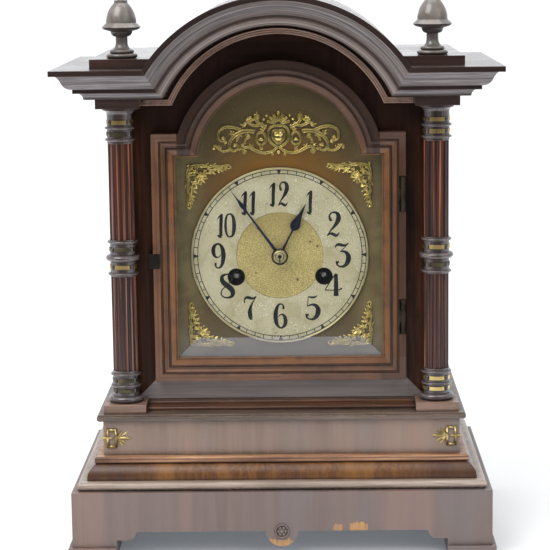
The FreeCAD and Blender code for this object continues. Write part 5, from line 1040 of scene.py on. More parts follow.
PEDESTAL = Veneer(
    "pedestal_veneer", "veneer", Grain.UPRIGHT, shadow=(0.2, 0.137, 0.107), body=(0.238, 0.163, 0.127),
    glow=(0.265, 0.186, 0.147), bare=(0.6, 0.34, 0.14), scale=0.12, stretch=0.05, roughness=0.45, polish=0.35,
    streaks=0.2, pink=(0.36, 0.23, 0.17), grey=(0.2, 0.17, 0.16))
CUSHION = Veneer(
    "cushion_veneer", "veneer", Grain.UPRIGHT, shadow=(0.05, 0.014, 0.003), body=(0.15, 0.05, 0.006),
    glow=(0.28, 0.115, 0.01), bare=(0.6, 0.34, 0.14), scale=0.3, stretch=0.03, polish=0.4, wear=0.5, leaf=38.0,
    pink=(0.3, 0.13, 0.02), grey=(0.055, 0.018, 0.009), ends=0.8)
FILLET = FilletWood(
    "base_fillet_wood", "moulding_wood", Grain.BOARD, shadow=(0.08, 0.026, 0.01), body=(0.44, 0.22, 0.11),
    glow=(0.64, 0.37, 0.2), bare=(0.7, 0.45, 0.24), wear=0.7, polish=0.3)
TORUS = Wood("base_torus_wood", "moulding_wood", Grain.BOARD, shadow=(0.18, 0.13, 0.1), body=(0.38, 0.295, 0.24),
             glow=(0.53, 0.44, 0.38), bare=(0.6, 0.38, 0.22), wear=0.6)
PLINTH = Wood("column_plinth_wood", "case_wood", Grain.BOARD, shadow=(0.14, 0.075, 0.05), body=(0.275, 0.165, 0.117),
              glow=(0.4, 0.26, 0.195), bare=(0.6, 0.4, 0.25))
SHAFT = ShaftWood(
    "column_shaft_wood", "turned_wood", Grain.UPRIGHT, shadow=(0.012, 0.004, 0.003), body=(0.06, 0.017, 0.011),
    glow=(0.12, 0.034, 0.02), bare=(0.34, 0.13, 0.08), scale=0.2, polish=0.5, polish_roughness=0.15, level=0.35)
TURNED = Wood(
    "column_turned_wood", "turned_wood", Grain.UPRIGHT, shadow=(0.012, 0.006, 0.004), body=(0.045, 0.026, 0.02),
    glow=(0.09, 0.055, 0.042), bare=(0.4, 0.32, 0.26), polish=1.0, polish_roughness=0.08, bloom=0.4, wear=0.9)
FINIAL = FinialWood(
    "finial_turning", "finial_wood", Grain.UPRIGHT, shadow=(0.1, 0.082, 0.07), body=(0.165, 0.14, 0.12),
    glow=(0.23, 0.2, 0.175), bare=(0.42, 0.37, 0.31), scale=0.14, stretch=0.4, roughness=0.38, polish=0.9,
    polish_roughness=0.12, dirt=1.0, streaks=0.3)
INNER = Wood("inner_pine", "inner_wood", Grain.BOARD, shadow=(0.2, 0.1, 0.045), body=(0.36, 0.21, 0.1),
             glow=(0.5, 0.32, 0.17), bare=(0.6, 0.45, 0.28), roughness=0.6, polish=0.0, scale=0.07)
BACK = Wood("back_board_wood", "case_wood", Grain.UPRIGHT, shadow=(0.04, 0.017, 0.009), body=(0.1, 0.045, 0.024),
            glow=(0.17, 0.085, 0.045), roughness=0.55, polish=0.1, scale=0.08)
GILT = Metal("gilt_cast_brass", "gilt_brass", (1.0, 0.8, 0.28), (0.5, 0.3, 0.05), (0.02, 0.01, 0.002),
             roughness=0.13, tarnished=0.45, dirt=1.0, scale=0.16)
ANTIQUE = Metal("antique_cast_brass", "gilt_brass", (0.75, 0.58, 0.25), (0.22, 0.16, 0.06), (0.02, 0.013, 0.005),
                roughness=0.25, tarnished=0.85, dirt=1.0, scale=0.15, edge=0.3)
RIM = Metal("chapter_rim_brass", "gilt_brass", (0.8, 0.68, 0.38), (0.5, 0.38, 0.16), (0.1, 0.07, 0.03), roughness=0.3)
PALE_BRASS = Metal(
    "column_band_brass", "gilt_brass", (0.88, 0.66, 0.28), (0.36, 0.25, 0.09), (0.04, 0.03, 0.015), roughness=0.25,
    tarnished=0.75, specks=0.6)
CLOCK_BRASS = Metal(
    "movement_brass", "clock_brass", (0.72, 0.52, 0.2), (0.42, 0.27, 0.09), (0.05, 0.03, 0.01), roughness=0.3,
    tarnished=0.6, scale=0.03)
BRONZE = Metal("dark_bronze", "bronzed", (0.1, 0.08, 0.055), (0.018, 0.015, 0.012), (0.006, 0.005, 0.004),
               roughness=0.38, tarnished=0.9)
BLUED = Metal("heat_blued_steel", "blued_steel", (0.045, 0.05, 0.1), (0.012, 0.012, 0.02), (0.006, 0.005, 0.005),
              roughness=0.28, tarnished=0.7, specks=0.2)
STEEL = Metal("cut_steel", "steel", (0.4, 0.4, 0.4), (0.14, 0.135, 0.13), (0.05, 0.04, 0.03), roughness=0.3)
IRON = Metal(
    "black_iron", "iron", (0.035, 0.033, 0.032), (0.015, 0.013, 0.012), (0.006, 0.005, 0.004), roughness=0.45)
DIAL_PLATE = EngravedBrass("engraved_dial_brass", "dial_brass")
CHAPTER = SilveredBrass("silvered_chapter", "silvered")
DISC = FrostedGold("frosted_centre", "dial_brass")
PLATE_GLASS = Glass("plate_glass", "glass")
INK = Enamel("black_enamel", "blued_steel")
WELL = Metal(
    "well_black", "bronzed", (0.02, 0.018, 0.015), (0.01, 0.009, 0.008), (0.004, 0.004, 0.004), roughness=0.6)
DULL_BRASS = Metal(
    "column_band_tarnished", "gilt_brass", (0.2, 0.17, 0.1), (0.05, 0.045, 0.03), (0.012, 0.01, 0.008),
    roughness=0.35, tarnished=0.95, specks=0.7)
FLOOR = PlainFloor("studio_floor", "none")


# ---------------------------------------------------------------- making pieces

class Section(Enum):
    """The shape across a drawn stroke."""

    FLAT = "a flat ribbon"
    ROUND = "a round cord"


@dataclass(frozen=True)
class Stroke:
    """A line that swells and thins: points across, up and half width. A closed one joins its ends."""

    points: tuple[tuple[float, float, float], ...]
    closed: bool = False

    def moved(self, x: float = 0.0, y: float = 0.0, size: float = 1.0, swap: bool = False,
              flip_x: bool = False, flip_y: bool = False) -> "Stroke":
        """Returns the stroke carried elsewhere.

        Args:
            x: How far it moves across, after sizing.
            y: How far it moves up, after sizing.
            size: How much larger it is made.
            swap: Whether across and up change places first.
            flip_x: Whether it is turned over from left to right, after any swap.
            flip_y: Whether it is turned upside down, after any swap.

        Returns:
            The new stroke.
        """
        made = []
        for across, up, half in self.points:
            if swap:
                across, up = up, across
            made.append(((-across if flip_x else across) * size + x, (-up if flip_y else up) * size + y, half * size))
        return Stroke(tuple(made), self.closed)

    def squeezed(self, share: float) -> "Stroke":
        """Returns the stroke made narrower across; its widths shrink half as much."""
        return Stroke(
            tuple((across * share, up, half * (1 + share) / 2) for across, up, half in self.points), self.closed)

    def thickened(self, share: float) -> "Stroke":
        """Returns the stroke with its widths multiplied."""
        return Stroke(tuple((across, up, half * share) for across, up, half in self.points), self.closed)


def finish_piece(name: str, mesh: Shape, finish: Finish, body: str, smooth: bool = True,
                 replaced: tuple[str, ...] = ()) -> bpy.types.Object:
    """Turns a bmesh into a finished piece that rides on a body.

    Args:
        name: The piece's name.
        mesh: Its shape, in place, in metres. It is freed.
        finish: Its finish.
        body: The body that it moves with.
        smooth: Whether its faces are shaded smooth.
        replaced: The solids that it stands for.

    Returns:
        The piece's object.
    """
    data = bpy.data.meshes.new(name)
    mesh.to_mesh(data)
    mesh.free()
    data.polygons.foreach_set("use_smooth", [smooth] * len(data.polygons))
    piece = bpy.data.objects.new(name, data)
    bpy.context.scene.collection.objects.link(piece)
    data.materials.append(finish.material())
    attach(piece, body)
    if replaced:
        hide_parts(*replaced)
    LOG.info("%s: %d faces, on %s", name, len(data.polygons), body)
    return piece


def drawn(strokes: list[Stroke], section: Section, depth: float, steps: int = 5) -> Shape:
    """Draws strokes as one shape lying on the front plane, its middle line at y = 0.

    Args:
        strokes: The strokes, in millimetres.
        section: Their section.
        depth: A flat ribbon's height, or a round cord's height as a share of its width.
        steps: Divisions of each length of a stroke.

    Returns:
        The shape, in metres, across in X and up in Z, its face towards -Y.
    """
    curve = bpy.data.curves.new("strokes", "CURVE")
    curve.dimensions = "3D"
    curve.twist_mode = "Z_UP"
    curve.resolution_u = steps
    curve.use_fill_caps = True
    helper = None
    if section is Section.FLAT:
        outline = bpy.data.curves.new("ribbon", "CURVE")
        line = outline.splines.new("POLY")
        line.points.add(3)
        for point, (x, y) in zip(line.points, ((-1, -0.2), (1, -0.2), (1, 0.2), (-1, 0.2))):
            point.co = (x, y, 0, 1)
        line.use_cyclic_u = True
        helper = bpy.data.objects.new("ribbon", outline)
        curve.bevel_mode = "OBJECT"
        curve.bevel_object = helper
    else:
        curve.bevel_mode = "ROUND"
        curve.bevel_depth = 1.0
        curve.bevel_resolution = 2
    for stroke in strokes:
        line = curve.splines.new("NURBS")
        line.points.add(len(stroke.points) - 1)
        for point, (x, y, half) in zip(line.points, stroke.points):
            point.co = (x, y, 0, 1)
            point.radius = half
        line.use_cyclic_u = stroke.closed
        line.use_endpoint_u = not stroke.closed
        line.order_u = min(4, len(stroke.points))
    holder = bpy.data.objects.new("strokes", curve)
    bpy.context.scene.collection.objects.link(holder)
    bpy.context.view_layer.update()
    data = bpy.data.meshes.new_from_object(holder.evaluated_get(bpy.context.evaluated_depsgraph_get()))
    shape = bmesh.new()
    shape.from_mesh(data)
    bpy.data.meshes.remove(data)
    for made in (holder, helper):
        if made is not None:
            bpy.data.curves.remove(made.data)
    if section is Section.FLAT:
        for vert in shape.verts:
            vert.co.z = depth if vert.co.z > 0 else -depth
    else:
        bmesh.ops.scale(shape, vec=(1, 1, depth), verts=shape.verts)
    bmesh.ops.remove_doubles(shape, verts=shape.verts, dist=1e-4)
    bmesh.ops.rotate(shape, cent=(0, 0, 0), matrix=Matrix.Rotation(math.radians(90), 3, "X"), verts=shape.verts)
    bmesh.ops.scale(shape, vec=(MM, MM, MM), verts=shape.verts)
    face_out(shape)
    return shape


def face_out(shape: Shape) -> None:
    """Turns the shape's faces outwards."""
    bmesh.ops.recalc_face_normals(shape, faces=shape.faces)


def absorb(shape: Shape, other: Shape) -> None:
    """Moves another shape's mesh into a shape, and frees the other.

    Args:
        shape: The shape that grows.
        other: The shape that goes into it.
    """
    data = bpy.data.meshes.new("absorbed")
    other.to_mesh(data)
    other.free()
    shape.from_mesh(data)
    bpy.data.meshes.remove(data)


def add_ball(shape: Shape, centre: Vector, size: tuple[float, float, float], rings: int = 8) -> None:
    """Adds a ball squashed to half sizes in X, Y and Z, in metres.

    Args:
        shape: The shape that it goes into.
        centre: Its middle, in metres.
        size: Its half sizes.
        rings: Its rings of faces.
    """
    ball = bmesh.new()
    made = bmesh.ops.create_uvsphere(ball, u_segments=rings * 2, v_segments=rings, radius=1.0)["verts"]
    bmesh.ops.scale(ball, vec=size, verts=made)
    bmesh.ops.translate(ball, vec=centre, verts=made)
    absorb(shape, ball)


def add_bar(shape: Shape, low: Vector, high: Vector) -> list[bmesh.types.BMVert]:
    """Adds a square bar between two corners and returns its points.

    Args:
        shape: The shape that it goes into.
        low: Its lowest corner, in metres.
        high: Its highest corner.

    Returns:
        The bar's points.
    """
    made = bmesh.ops.create_cube(shape, size=1.0)["verts"]
    bmesh.ops.scale(shape, vec=[b - a for a, b in zip(low, high)], verts=made)
    bmesh.ops.translate(shape, vec=[(a + b) / 2 for a, b in zip(low, high)], verts=made)
    return made


def add_ring(shape: Shape, outline: list[tuple[float, float]], centre: Vector, steps: int = 128) -> None:
    """Adds a ring about an axis along Y: its section's points give a radius and a rise towards the front.

    Args:
        shape: The shape that it goes into.
        outline: Its section, in metres.
        centre: The middle of its axis.
        steps: Divisions round it.
    """
    verts = [shape.verts.new((centre.x + radius, centre.y - rise, centre.z)) for radius, rise in outline]
    edges = [shape.edges.new((a, b)) for a, b in zip(verts, verts[1:] + verts[:1])]
    bmesh.ops.spin(
        shape, geom=verts + edges, cent=centre, axis=(0, 1, 0), angle=2 * math.pi, steps=steps, use_merge=True)


def ridged(strokes: list[Stroke]) -> list[Stroke]:
    """Returns two thin parallel ridges for each stroke, as a cast scroll has along its borders.

    Args:
        strokes: The scroll's strokes.

    Returns:
        The ridges' strokes.
    """
    ridges = []
    for stroke in strokes:
        points = stroke.points
        for side in (-1, 1):
            made = []
            for number, (x, y, half) in enumerate(points):
                before, after = points[max(number - 1, 0)], points[min(number + 1, len(points) - 1)]
                along_x, along_y = after[0] - before[0], after[1] - before[1]
                length = math.hypot(along_x, along_y) or 1.0
                shift = side * half * 0.62
                made.append((x - along_y / length * shift, y + along_x / length * shift, half * 0.42))
            ridges.append(Stroke(tuple(made), stroke.closed))
    return ridges


def leaf(x: float, y: float, heading: float, length: float) -> list[Stroke]:
    """Returns a small leaf of three lobes that starts at a point and heads at an angle in degrees.

    Args:
        x: Where it starts across, in millimetres.
        y: Where it starts up.
        heading: Its direction, in degrees from across.
        length: The middle lobe's length.

    Returns:
        The three lobes.
    """
    lobes = []
    for turn, share in ((0, 1.0), (38, 0.72), (-38, 0.72)):
        angle = math.radians(heading + turn)
        across, up = math.cos(angle) * length * share, math.sin(angle) * length * share
        lobes.append(Stroke(((x, y, length * 0.1), (x + across * 0.55, y + up * 0.55, length * 0.2),
                             (x + across, y + up, length * 0.05))))
    return lobes


def mirrored(strokes: list[Stroke]) -> list[Stroke]:
    """Returns strokes with their mirror images left of the middle."""
    return strokes + [stroke.moved(flip_x=True) for stroke in strokes]


def softened(node: str, width: float, segments: int = 2) -> Shape:
    """Returns a merged copy of a solid's mesh with its sharp edges rounded.

    Args:
        node: The solid.
        width: The rounding, in millimetres.
        segments: Faces across each rounding.

    Returns:
        The rounded shape, in metres.
    """
    shape = bmesh.new()
    shape.from_mesh(frame["nodes"][node].data)
    bmesh.ops.remove_doubles(shape, verts=shape.verts, dist=1e-6)
    bmesh.ops.dissolve_limit(shape, angle_limit=math.radians(1), verts=shape.verts, edges=shape.edges)
    sharp = [edge for edge in shape.edges if len(edge.link_faces) == 2 and edge.calc_face_angle() > math.radians(35)]
    bmesh.ops.bevel(shape, geom=sharp, affect="EDGES", offset=width * MM, segments=segments, profile=0.5,
                    material=-1, clamp_overlap=True)
    return shape


def dress(finishes: dict[str, Finish]) -> None:
    """Gives solids their finishes, by node name.

    Args:
        finishes: Each solid's finish, by node name.
    """
    for node, finish in finishes.items():
        solid = frame["nodes"][node]
        solid.data.materials.clear()
        solid.data.materials.append(finish.material())
        LOG.info("%s: %s", node, finish.name)


# ---------------------------------------------------------------- base

ORNAMENT: tuple[Stroke, ...] = (
    Stroke(((3.5, 0, 1.3), (0.0, 0, 1.2), (-4.5, 0, 1.0))),
    Stroke(((-8.0, 0, 0.9), (-11.5, 0, 1.0), (-14.5, 0, 1.4), (-16.5, 0, 1.5), (-20.2, 0, 0.15))),
    Stroke(((-8.0, 0.8, 0.8), (-10.0, 2.2, 1.2), (-12.0, 4.6, 1.4), (-12.6, 7.2, 0.2))),
    Stroke(((-8.0, -0.8, 0.8), (-10.0, -2.2, 1.2), (-12.0, -4.6, 1.4), (-12.6, -7.2, 0.2))),
    Stroke(((-9.0, 0.4, 0.6), (-12.0, 1.8, 0.9), (-15.0, 3.8, 0.9), (-16.6, 5.4, 0.2))),
    Stroke(((-9.0, -0.4, 0.6), (-12.0, -1.8, 0.9), (-15.0, -3.8, 0.9), (-16.6, -5.4, 0.2))),
)


@dataclass
class Base:
    """The stepped base with its apron, rosette and corner ornaments."""

    ornament_edge: float = 3.6
    ornament_frame: float = 8.2 * MM
    ornament_bar: float = 1.8 * MM
    petals: int = 6
    boss_radius: float = 1.7 * MM

    def build(self) -> None:
        """Dresses the base and carves its ornaments."""
        dress({"foot_pads": VENEER, "front_apron": VENEER, "side_aprons": VENEER, "torus_board": TORUS,
               "cushion_moulding": CUSHION, "cushion_fillet": FILLET, "pedestal_walls": PEDESTAL,
               "pedestal_cap": CAP})
        self.rosette()
        self.ornaments()

    def ornaments(self) -> None:
        """Casts the two corner ornaments: a framed bar and a spray of three leaves."""
        low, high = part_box("pedestal_mounts")
        shape = drawn([stroke for side in (False, True) for stroke in (
            stroke.moved(high.x / MM - self.ornament_edge, 0).moved(flip_x=side) for stroke in ORNAMENT)],
            Section.ROUND, 0.8, 6)
        bmesh.ops.translate(shape, vec=(0, low.y + 1.3 * MM, (low.z + high.z) / 2), verts=shape.verts)
        rise = (high.z - low.z) / 2
        wide, thick = self.ornament_frame, self.ornament_bar
        for side in (-1, 1):
            outer = side * (high.x - self.ornament_edge * MM)
            inner = outer - side * wide
            for (x0, x1), (z0, z1) in (((outer - side * thick, outer), (-rise, rise)),
                                       ((inner, inner + side * thick), (-rise, rise)),
                                       ((inner + side * thick, outer - side * thick), (rise - thick, rise)),
                                       ((inner + side * thick, outer - side * thick), (-rise, thick - rise))):
                middle = (low.z + high.z) / 2
                add_bar(shape, Vector((min(x0, x1), low.y + 0.1 * MM, middle + z0)),
                        Vector((max(x0, x1), high.y, middle + z1)))
        face_out(shape)
        finish_piece("corner_ornaments", shape, ANTIQUE, "case", replaced=("pedestal_mounts",))

    def rosette(self) -> None:
        """Carves the apron's small flower."""
        low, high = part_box("apron_rosette")
        centre = (low + high) / 2
        reach = (high.x - low.x) / 2
        shape = bmesh.new()
        back = high.y
        add_ring(shape, [(reach, 0), (reach, 1.0 * MM), (reach * 0.94, 1.5 * MM), (reach * 0.84, 1.5 * MM),
                         (reach * 0.78, 0.9 * MM), (reach * 0.78, 0)], Vector((centre.x, back, centre.z)), 48)
        add_ring(shape, [(reach * 0.8, 0), (reach * 0.8, 0.5 * MM), (0.2 * MM, 0.5 * MM), (0.2 * MM, 0)],
                 Vector((centre.x, back, centre.z)), 32)
        for number in range(self.petals):
            angle = 2 * math.pi * number / self.petals
            spot = Vector((centre.x + math.cos(angle) * reach * 0.5, back - 0.7 * MM,
                           centre.z + math.sin(angle) * reach * 0.5))
            add_ball(shape, spot, (reach * 0.25, 0.9 * MM, reach * 0.25), 6)
        add_ball(shape, Vector((centre.x, back - 0.9 * MM, centre.z)), (self.boss_radius, 1.1 * MM, self.boss_radius))
        face_out(shape)
        finish_piece("carved_rosette", shape, VENEER, "case", replaced=("apron_rosette",))


# ---------------------------------------------------------------- case and columns

@dataclass
class CaseBody:
    """The case: front frame, sides, sill and the two half columns with their brass bands."""

    band_radius: float = 10.1 * MM
    plate_half_angle: float = math.radians(33)
    plate_height: float = 3.2 * MM
    band_height: float = 7.2 * MM
    ring_height: float = 3.8 * MM
    ring_gap: float = 1.9 * MM
    ring_drop: float = 0.8 * MM
    bright_bands: tuple[tuple[int, ...], ...] = ((2, 5), (0, 1, 3, 4, 5))

    def build(self) -> None:
        """Dresses the case and its columns."""
        dress({"front_frame": CASE_FRONT, "case_sides": CASE_SIDES, "sill_moulding": SILL,
               "column_plinths": PLINTH, "column_bases": TURNED, "column_shafts": SHAFT,
               "column_collars": TURNED, "column_capitals": TURNED})
        self.bands()

    def band_heights(self) -> list[float]:
        """Works out how high the middles of the columns' bands lie.

        Returns:
            Six heights: two in each column's base, collar and capital.
        """
        ring, gap, half = self.ring_height, self.ring_gap, self.band_height / 2
        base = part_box("column_bases")
        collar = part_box("column_collars")
        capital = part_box("column_capitals")
        return [base[1].z - ring - half, base[1].z - ring - gap - 3 * half + self.ring_drop,
                collar[0].z + 2 * ring, collar[1].z - 2 * ring,
                capital[0].z + ring + half, capital[0].z + ring + gap + 3 * half]

    def bands(self) -> None:
        """Fits the brass plates and dark studs round the columns."""
        low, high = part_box("column_shafts")
        middle_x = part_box("column_bases")[1].x - BASE_RADIUS * MM
        middle_y = (low.y + high.y) / 2
        kept, lost, studs = bmesh.new(), bmesh.new(), bmesh.new()
        for side in (-1, 1):
            for number, height in enumerate(self.band_heights()):
                centre = Vector((side * middle_x, middle_y, height))
                plates = kept if number in self.bright_bands[side > 0] else lost
                for quarter in range(4):
                    self.plate(plates, centre, quarter * math.pi / 2 - math.pi / 2)
                    angle = quarter * math.pi / 2 - math.pi / 4
                    spot = centre + Vector((math.cos(angle), math.sin(angle), 0)) * (self.band_radius + 0.1 * MM)
                    add_ball(studs, spot, (1.5 * MM, 1.5 * MM, 2.1 * MM), 6)
        for shape in (kept, lost, studs):
            face_out(shape)
        finish_piece("column_brasses", kept, PALE_BRASS, "case", smooth=False)
        finish_piece("tarnished_brasses", lost, DULL_BRASS, "case", smooth=False)
        finish_piece("column_studs", studs, TURNED, "case")

    def plate(self, shape: Shape, centre: Vector, angle: float) -> None:
        """Adds one curved plate.

        Args:
            shape: The shape that it goes into.
            centre: The middle of the column at the plate's height.
            angle: The way that the plate's middle faces, in radians.
        """
        half = self.plate_height / 2
        inner, outer = self.band_radius - 0.3 * MM, self.band_radius + 0.55 * MM
        start = angle - self.plate_half_angle
        corners = [(inner, -half), (outer - 0.2 * MM, -half), (outer, -half + 0.2 * MM), (outer, half - 0.2 * MM),
                   (outer - 0.2 * MM, half), (inner, half)]
        verts = [shape.verts.new(centre + Vector((math.cos(start) * r, math.sin(start) * r, z))) for r, z in corners]
        face = shape.faces.new(verts)
        bmesh.ops.spin(shape, geom=[face], cent=centre, axis=(0, 0, 1), angle=self.plate_half_angle * 2, steps=12)


# ---------------------------------------------------------------- hood and top

@dataclass
class Hood:
    """The frieze, the cornice with its arch, the roof and the finials."""

    def build(self) -> None:
        """Dresses the hood."""
        dress({"frieze_blocks": CASE_BOARDS, "cornice_arch": HOOD_MOULDING, "cornice_wings": MOULDING,
               "frieze_bead": BEAD, "arch_roof": CASE_BOARDS, "finial_boards": CASE_BOARDS, "finials": FINIAL})


# ---------------------------------------------------------------- door

@dataclass
class Door:
    """The glazed door with its bevelled glass, hinges and catch."""

    bevel_width: float = 15.5 * MM
    bevel_drop: float = 1.3 * MM

    def build(self) -> None:
        """Dresses the door and bevels its glass."""
        dress({"door_frame": DOOR, "glass_beads": INNER, "door_hinge_leaves": BRONZE, "case_hinge_leaves": BRONZE})
        self.glass()
        finish_piece("catch_plate", softened("door_catch", 0.25), IRON, "door", replaced=("door_catch",))

    def glass(self) -> None:
        """Cuts the glass with a wide flat bevel round its front."""
        shape = bmesh.new()
        shape.from_mesh(frame["nodes"]["door_glass"].data)
        bmesh.ops.remove_doubles(shape, verts=shape.verts, dist=1e-6)
        bmesh.ops.dissolve_limit(shape, angle_limit=math.radians(1), verts=shape.verts, edges=shape.edges)
        front = max((face for face in shape.faces if face.normal.y < -0.9), key=lambda face: face.calc_area())
        bevel = bmesh.ops.inset_region(
            shape, faces=[front], thickness=self.bevel_width + 3.0 * MM, use_even_offset=True)
        flat = set(front.verts)
        rim = {vert for face in bevel["faces"] for vert in face.verts if vert not in flat}
        bmesh.ops.translate(shape, vec=(0, self.bevel_drop, 0), verts=list(rim))
        face_out(shape)
        finish_piece("bevelled_glass", shape, PLATE_GLASS, "door", smooth=False, replaced=("door_glass",))


# ---------------------------------------------------------------- dial

DIGITS: dict[str, list[Stroke]] = {
    "0": [Stroke(((0, 1.02, .03), (-.2, .95, .05), (-.27, .5, .07), (-.2, .05, .05), (0, -.02, .03), (.2, .05, .07),
                  (.27, .5, .115), (.2, .95, .07)), True)],
    "1": [Stroke(((.0, .03, .07), (.0, .3, .07), (.01, .6, .075), (.03, .85, .08), (.05, 1.0, .05))),
          Stroke(((.08, 1.0, .012), (.0, .95, .035), (-.07, .86, .04), (-.13, .8, .015), (-.15, .74, .01))),
          Stroke(((.02, .02, .06), (-.04, -.01, .05), (-.1, .03, .045), (-.13, .09, .03)))],
    "2": [Stroke(((-.1, .7, .06), (-.16, .78, .05), (-.15, .95, .03), (.02, 1.05, .035), (.24, .98, .08),
                  (.27, .74, .12), (.14, .5, .08), (-.06, .28, .035), (-.22, .08, .018), (-.25, -.01, .015))),
          Stroke(((-.1, .72, .075), (-.08, .7, .08), (-.05, .72, .06))),
          Stroke(((-.25, .0, .015), (-.14, .12, .045), (.0, .1, .075), (.12, -.02, .07), (.22, .04, .04),
                  (.27, .16, .012)))],
    "3": [Stroke(((-.24, .8, .01), (-.2, .95, .05), (-.06, .97, .07), (.08, .88, .06), (.2, .93, .035),
                  (.28, 1.02, .012))),
          Stroke(((.28, 1.0, .012), (.14, .82, .016), (.0, .68, .02), (-.04, .63, .02))),
          Stroke(((-.04, .63, .02), (.1, .68, .045), (.28, .55, .09), (.29, .25, .12), (.14, -.02, .06),
                  (-.08, -.04, .03), (-.2, .08, .035), (-.17, .22, .06))),
          Stroke(((-.15, .21, .07), (-.13, .19, .075), (-.1, .21, .05)))],
    "4": [Stroke(((.1, 1.0, .03), (-.02, .84, .025), (-.16, .6, .022), (-.3, .3, .02))),
          Stroke(((-.31, .29, .025), (-.1, .28, .02), (.16, .28, .02), (.26, .3, .025), (.31, .37, .04))),
          Stroke(((.1, 1.0, .07), (.1, .7, .085), (.1, .3, .09), (.1, .02, .1)))],
    "5": [Stroke(((-.1, .99, .02), (.02, .92, .055), (.13, .93, .055), (.24, 1.02, .015))),
          Stroke(((-.1, .98, .02), (-.12, .8, .018), (-.15, .57, .018))),
          Stroke(((-.15, .55, .02), (.04, .68, .045), (.28, .57, .09), (.29, .24, .12), (.14, -.02, .06),
                  (-.08, -.04, .03), (-.2, .08, .035), (-.17, .22, .06))),
          Stroke(((-.15, .21, .07), (-.13, .19, .075), (-.1, .21, .05)))],
    "6": [Stroke(((.15, .86, .06), (.17, .96, .035), (.04, 1.06, .03), (-.16, .98, .06), (-.27, .62, .115),
                  (-.26, .22, .11), (-.1, -.03, .045), (.1, -.04, .045), (.26, .12, .1), (.27, .38, .1),
                  (.14, .6, .045), (-.04, .56, .025), (-.13, .44, .015))),
          Stroke(((.13, .86, .065), (.15, .84, .07), (.18, .86, .05)))],
    "7": [Stroke(((-.24, .8, .01), (-.2, .97, .05), (-.06, .99, .07), (.08, .9, .06), (.2, .94, .035),
                  (.28, 1.03, .012))),
          Stroke(((.28, 1.01, .012), (.16, .84, .02), (.04, .6, .045), (-.02, .34, .1), (.02, .1, .1),
                  (.05, -.02, .05))),
          Stroke(((-.24, .82, .02), (-.22, .77, .035), (-.2, .73, .02)))],
    "8": [Stroke(((.0, 1.03, .03), (-.2, .98, .06), (-.22, .72, .1), (.0, .53, .115), (.24, .32, .115),
                  (.22, .04, .07), (.0, -.03, .03), (-.24, .04, .03), (-.25, .32, .025), (.0, .55, .02),
                  (.2, .74, .025), (.2, .98, .03)), True)],
}
DIGITS["9"] = [stroke.moved(0, 1, flip_x=True, flip_y=True) for stroke in DIGITS["6"]]
DIGIT_PLACES = {"10": (-0.235, 0.16), "11": (-0.15, 0.2), "12": (-0.26, 0.15)}
DIGIT_SHARES = {"2": 1.0, "3": 1.12, "4": 1.18, "5": 1.12, "6": 0.83, "7": 1.05, "8": 1.12, "9": 0.84}
PAIR_SHARE = 0.76

CREST_HALF: list[Stroke] = [
    Stroke(((0, 1.0, .8), (3.4, 2.8, .8), (5.8, -.8, .8), (4.6, -5.6, .8), (0, -9.4, .8))),
    Stroke(((0, 5.0, .9), (4.6, 5.8, .9), (8.4, 2.0, 1.0), (8.6, -4.2, .9), (5.6, -9.8, .9), (0, -11.8, .9))),
    Stroke(((0, -11.6, .8), (3.0, -13.0, .9), (5.6, -15.8, .9))),
    Stroke(((9.0, 4.5, 1.4), (13, 5.0, 1.3), (17, 8.5, 1.1), (19.5, 13, 1.0), (16.5, 15, .9), (14.5, 12, .8),
            (16.5, 10.5, .7))),
    Stroke(((12, 8, .9), (15, 5, 1.0), (20, 5, 1.1), (24, 8.5, .9), (27, 8, .7), (27, 5.5, .6))),
    Stroke(((13.6, -9.8, .8), (9.8, -9, .9), (9.6, -1.6, 1.0), (13.6, 1.0, 1.0), (17.8, -1.6, .9), (17.6, -9, .9),
            (13.6, -9.8, .8))),
    Stroke(((12, -6.6, .7), (13.6, -3.2, .8), (15.4, -6.6, .7))),
    Stroke(((3, -14, 1.0), (9, -17, 1.1), (17, -15.5, 1.2), (23, -10.5, 1.2), (28, -12, 1.1), (29, -16, .9),
            (25.6, -16.8, .8), (25.5, -13.8, .7))),
    Stroke(((18.5, .5, 1.5), (24, 2.0, 1.5), (31, .5, 1.4), (37.5, -4.5, 1.3), (40, -11, 1.1), (36, -15.5, 1.0),
            (31.5, -13, .9), (32, -9, .8), (35.5, -9, .7))),
    Stroke(((28, 1.5, 1.1), (34, 4.6, 1.2), (42, 5.0, 1.2), (47.5, .5, 1.1), (47, -6, .9), (42.5, -7.4, .8),
            (41.5, -3.6, .7), (44, -3.0, .6))),
    Stroke(((38.5, -13.5, 1.0), (43, -15.5, 1.0), (47, -13, .9), (49, -9.5, .9), (51, -9.8, .8), (50.5, -13, .7))),
    Stroke(((22, -3, 1.0), (26, -4, 1.0), (28, -7.5, .8), (25.5, -8.8, .7))),
    Stroke(((30, -1.5, 1.0), (33, -4.5, 1.0), (32.5, -7, .7))),
]
SPANDREL_HALF: list[Stroke] = [
    Stroke(((65, 65, 1.5), (66.5, 70, 1.3), (61, 73, 1.2), (56, 69.5, 1.1), (51, 72.5, 1.0), (46, 70.2, .9),
            (41, 72.8, .8), (37.5, 71.8, .7), (38, 69.4, .6))),
    Stroke(((63, 66, 1.2), (58.5, 62, 1.1), (56, 65.5, 1.0), (59.5, 68.5, .8))),
    Stroke(((56, 69.5, 1.0), (53, 66, 1.0), (50.5, 67.4, .8))),
    Stroke(((51, 72, .9), (48, 67.5, .9), (45.5, 68.4, .7))),
    Stroke(((46, 70.5, .8), (43.5, 67.8, .8), (41.5, 68.8, .6))),
    Stroke(((60, 70, .9), (57, 73, .8), (54.5, 73.3, .6))),
    Stroke(((70, 70, 1.3), (72.5, 66, 1.1), (71.5, 60.5, .9))),
]

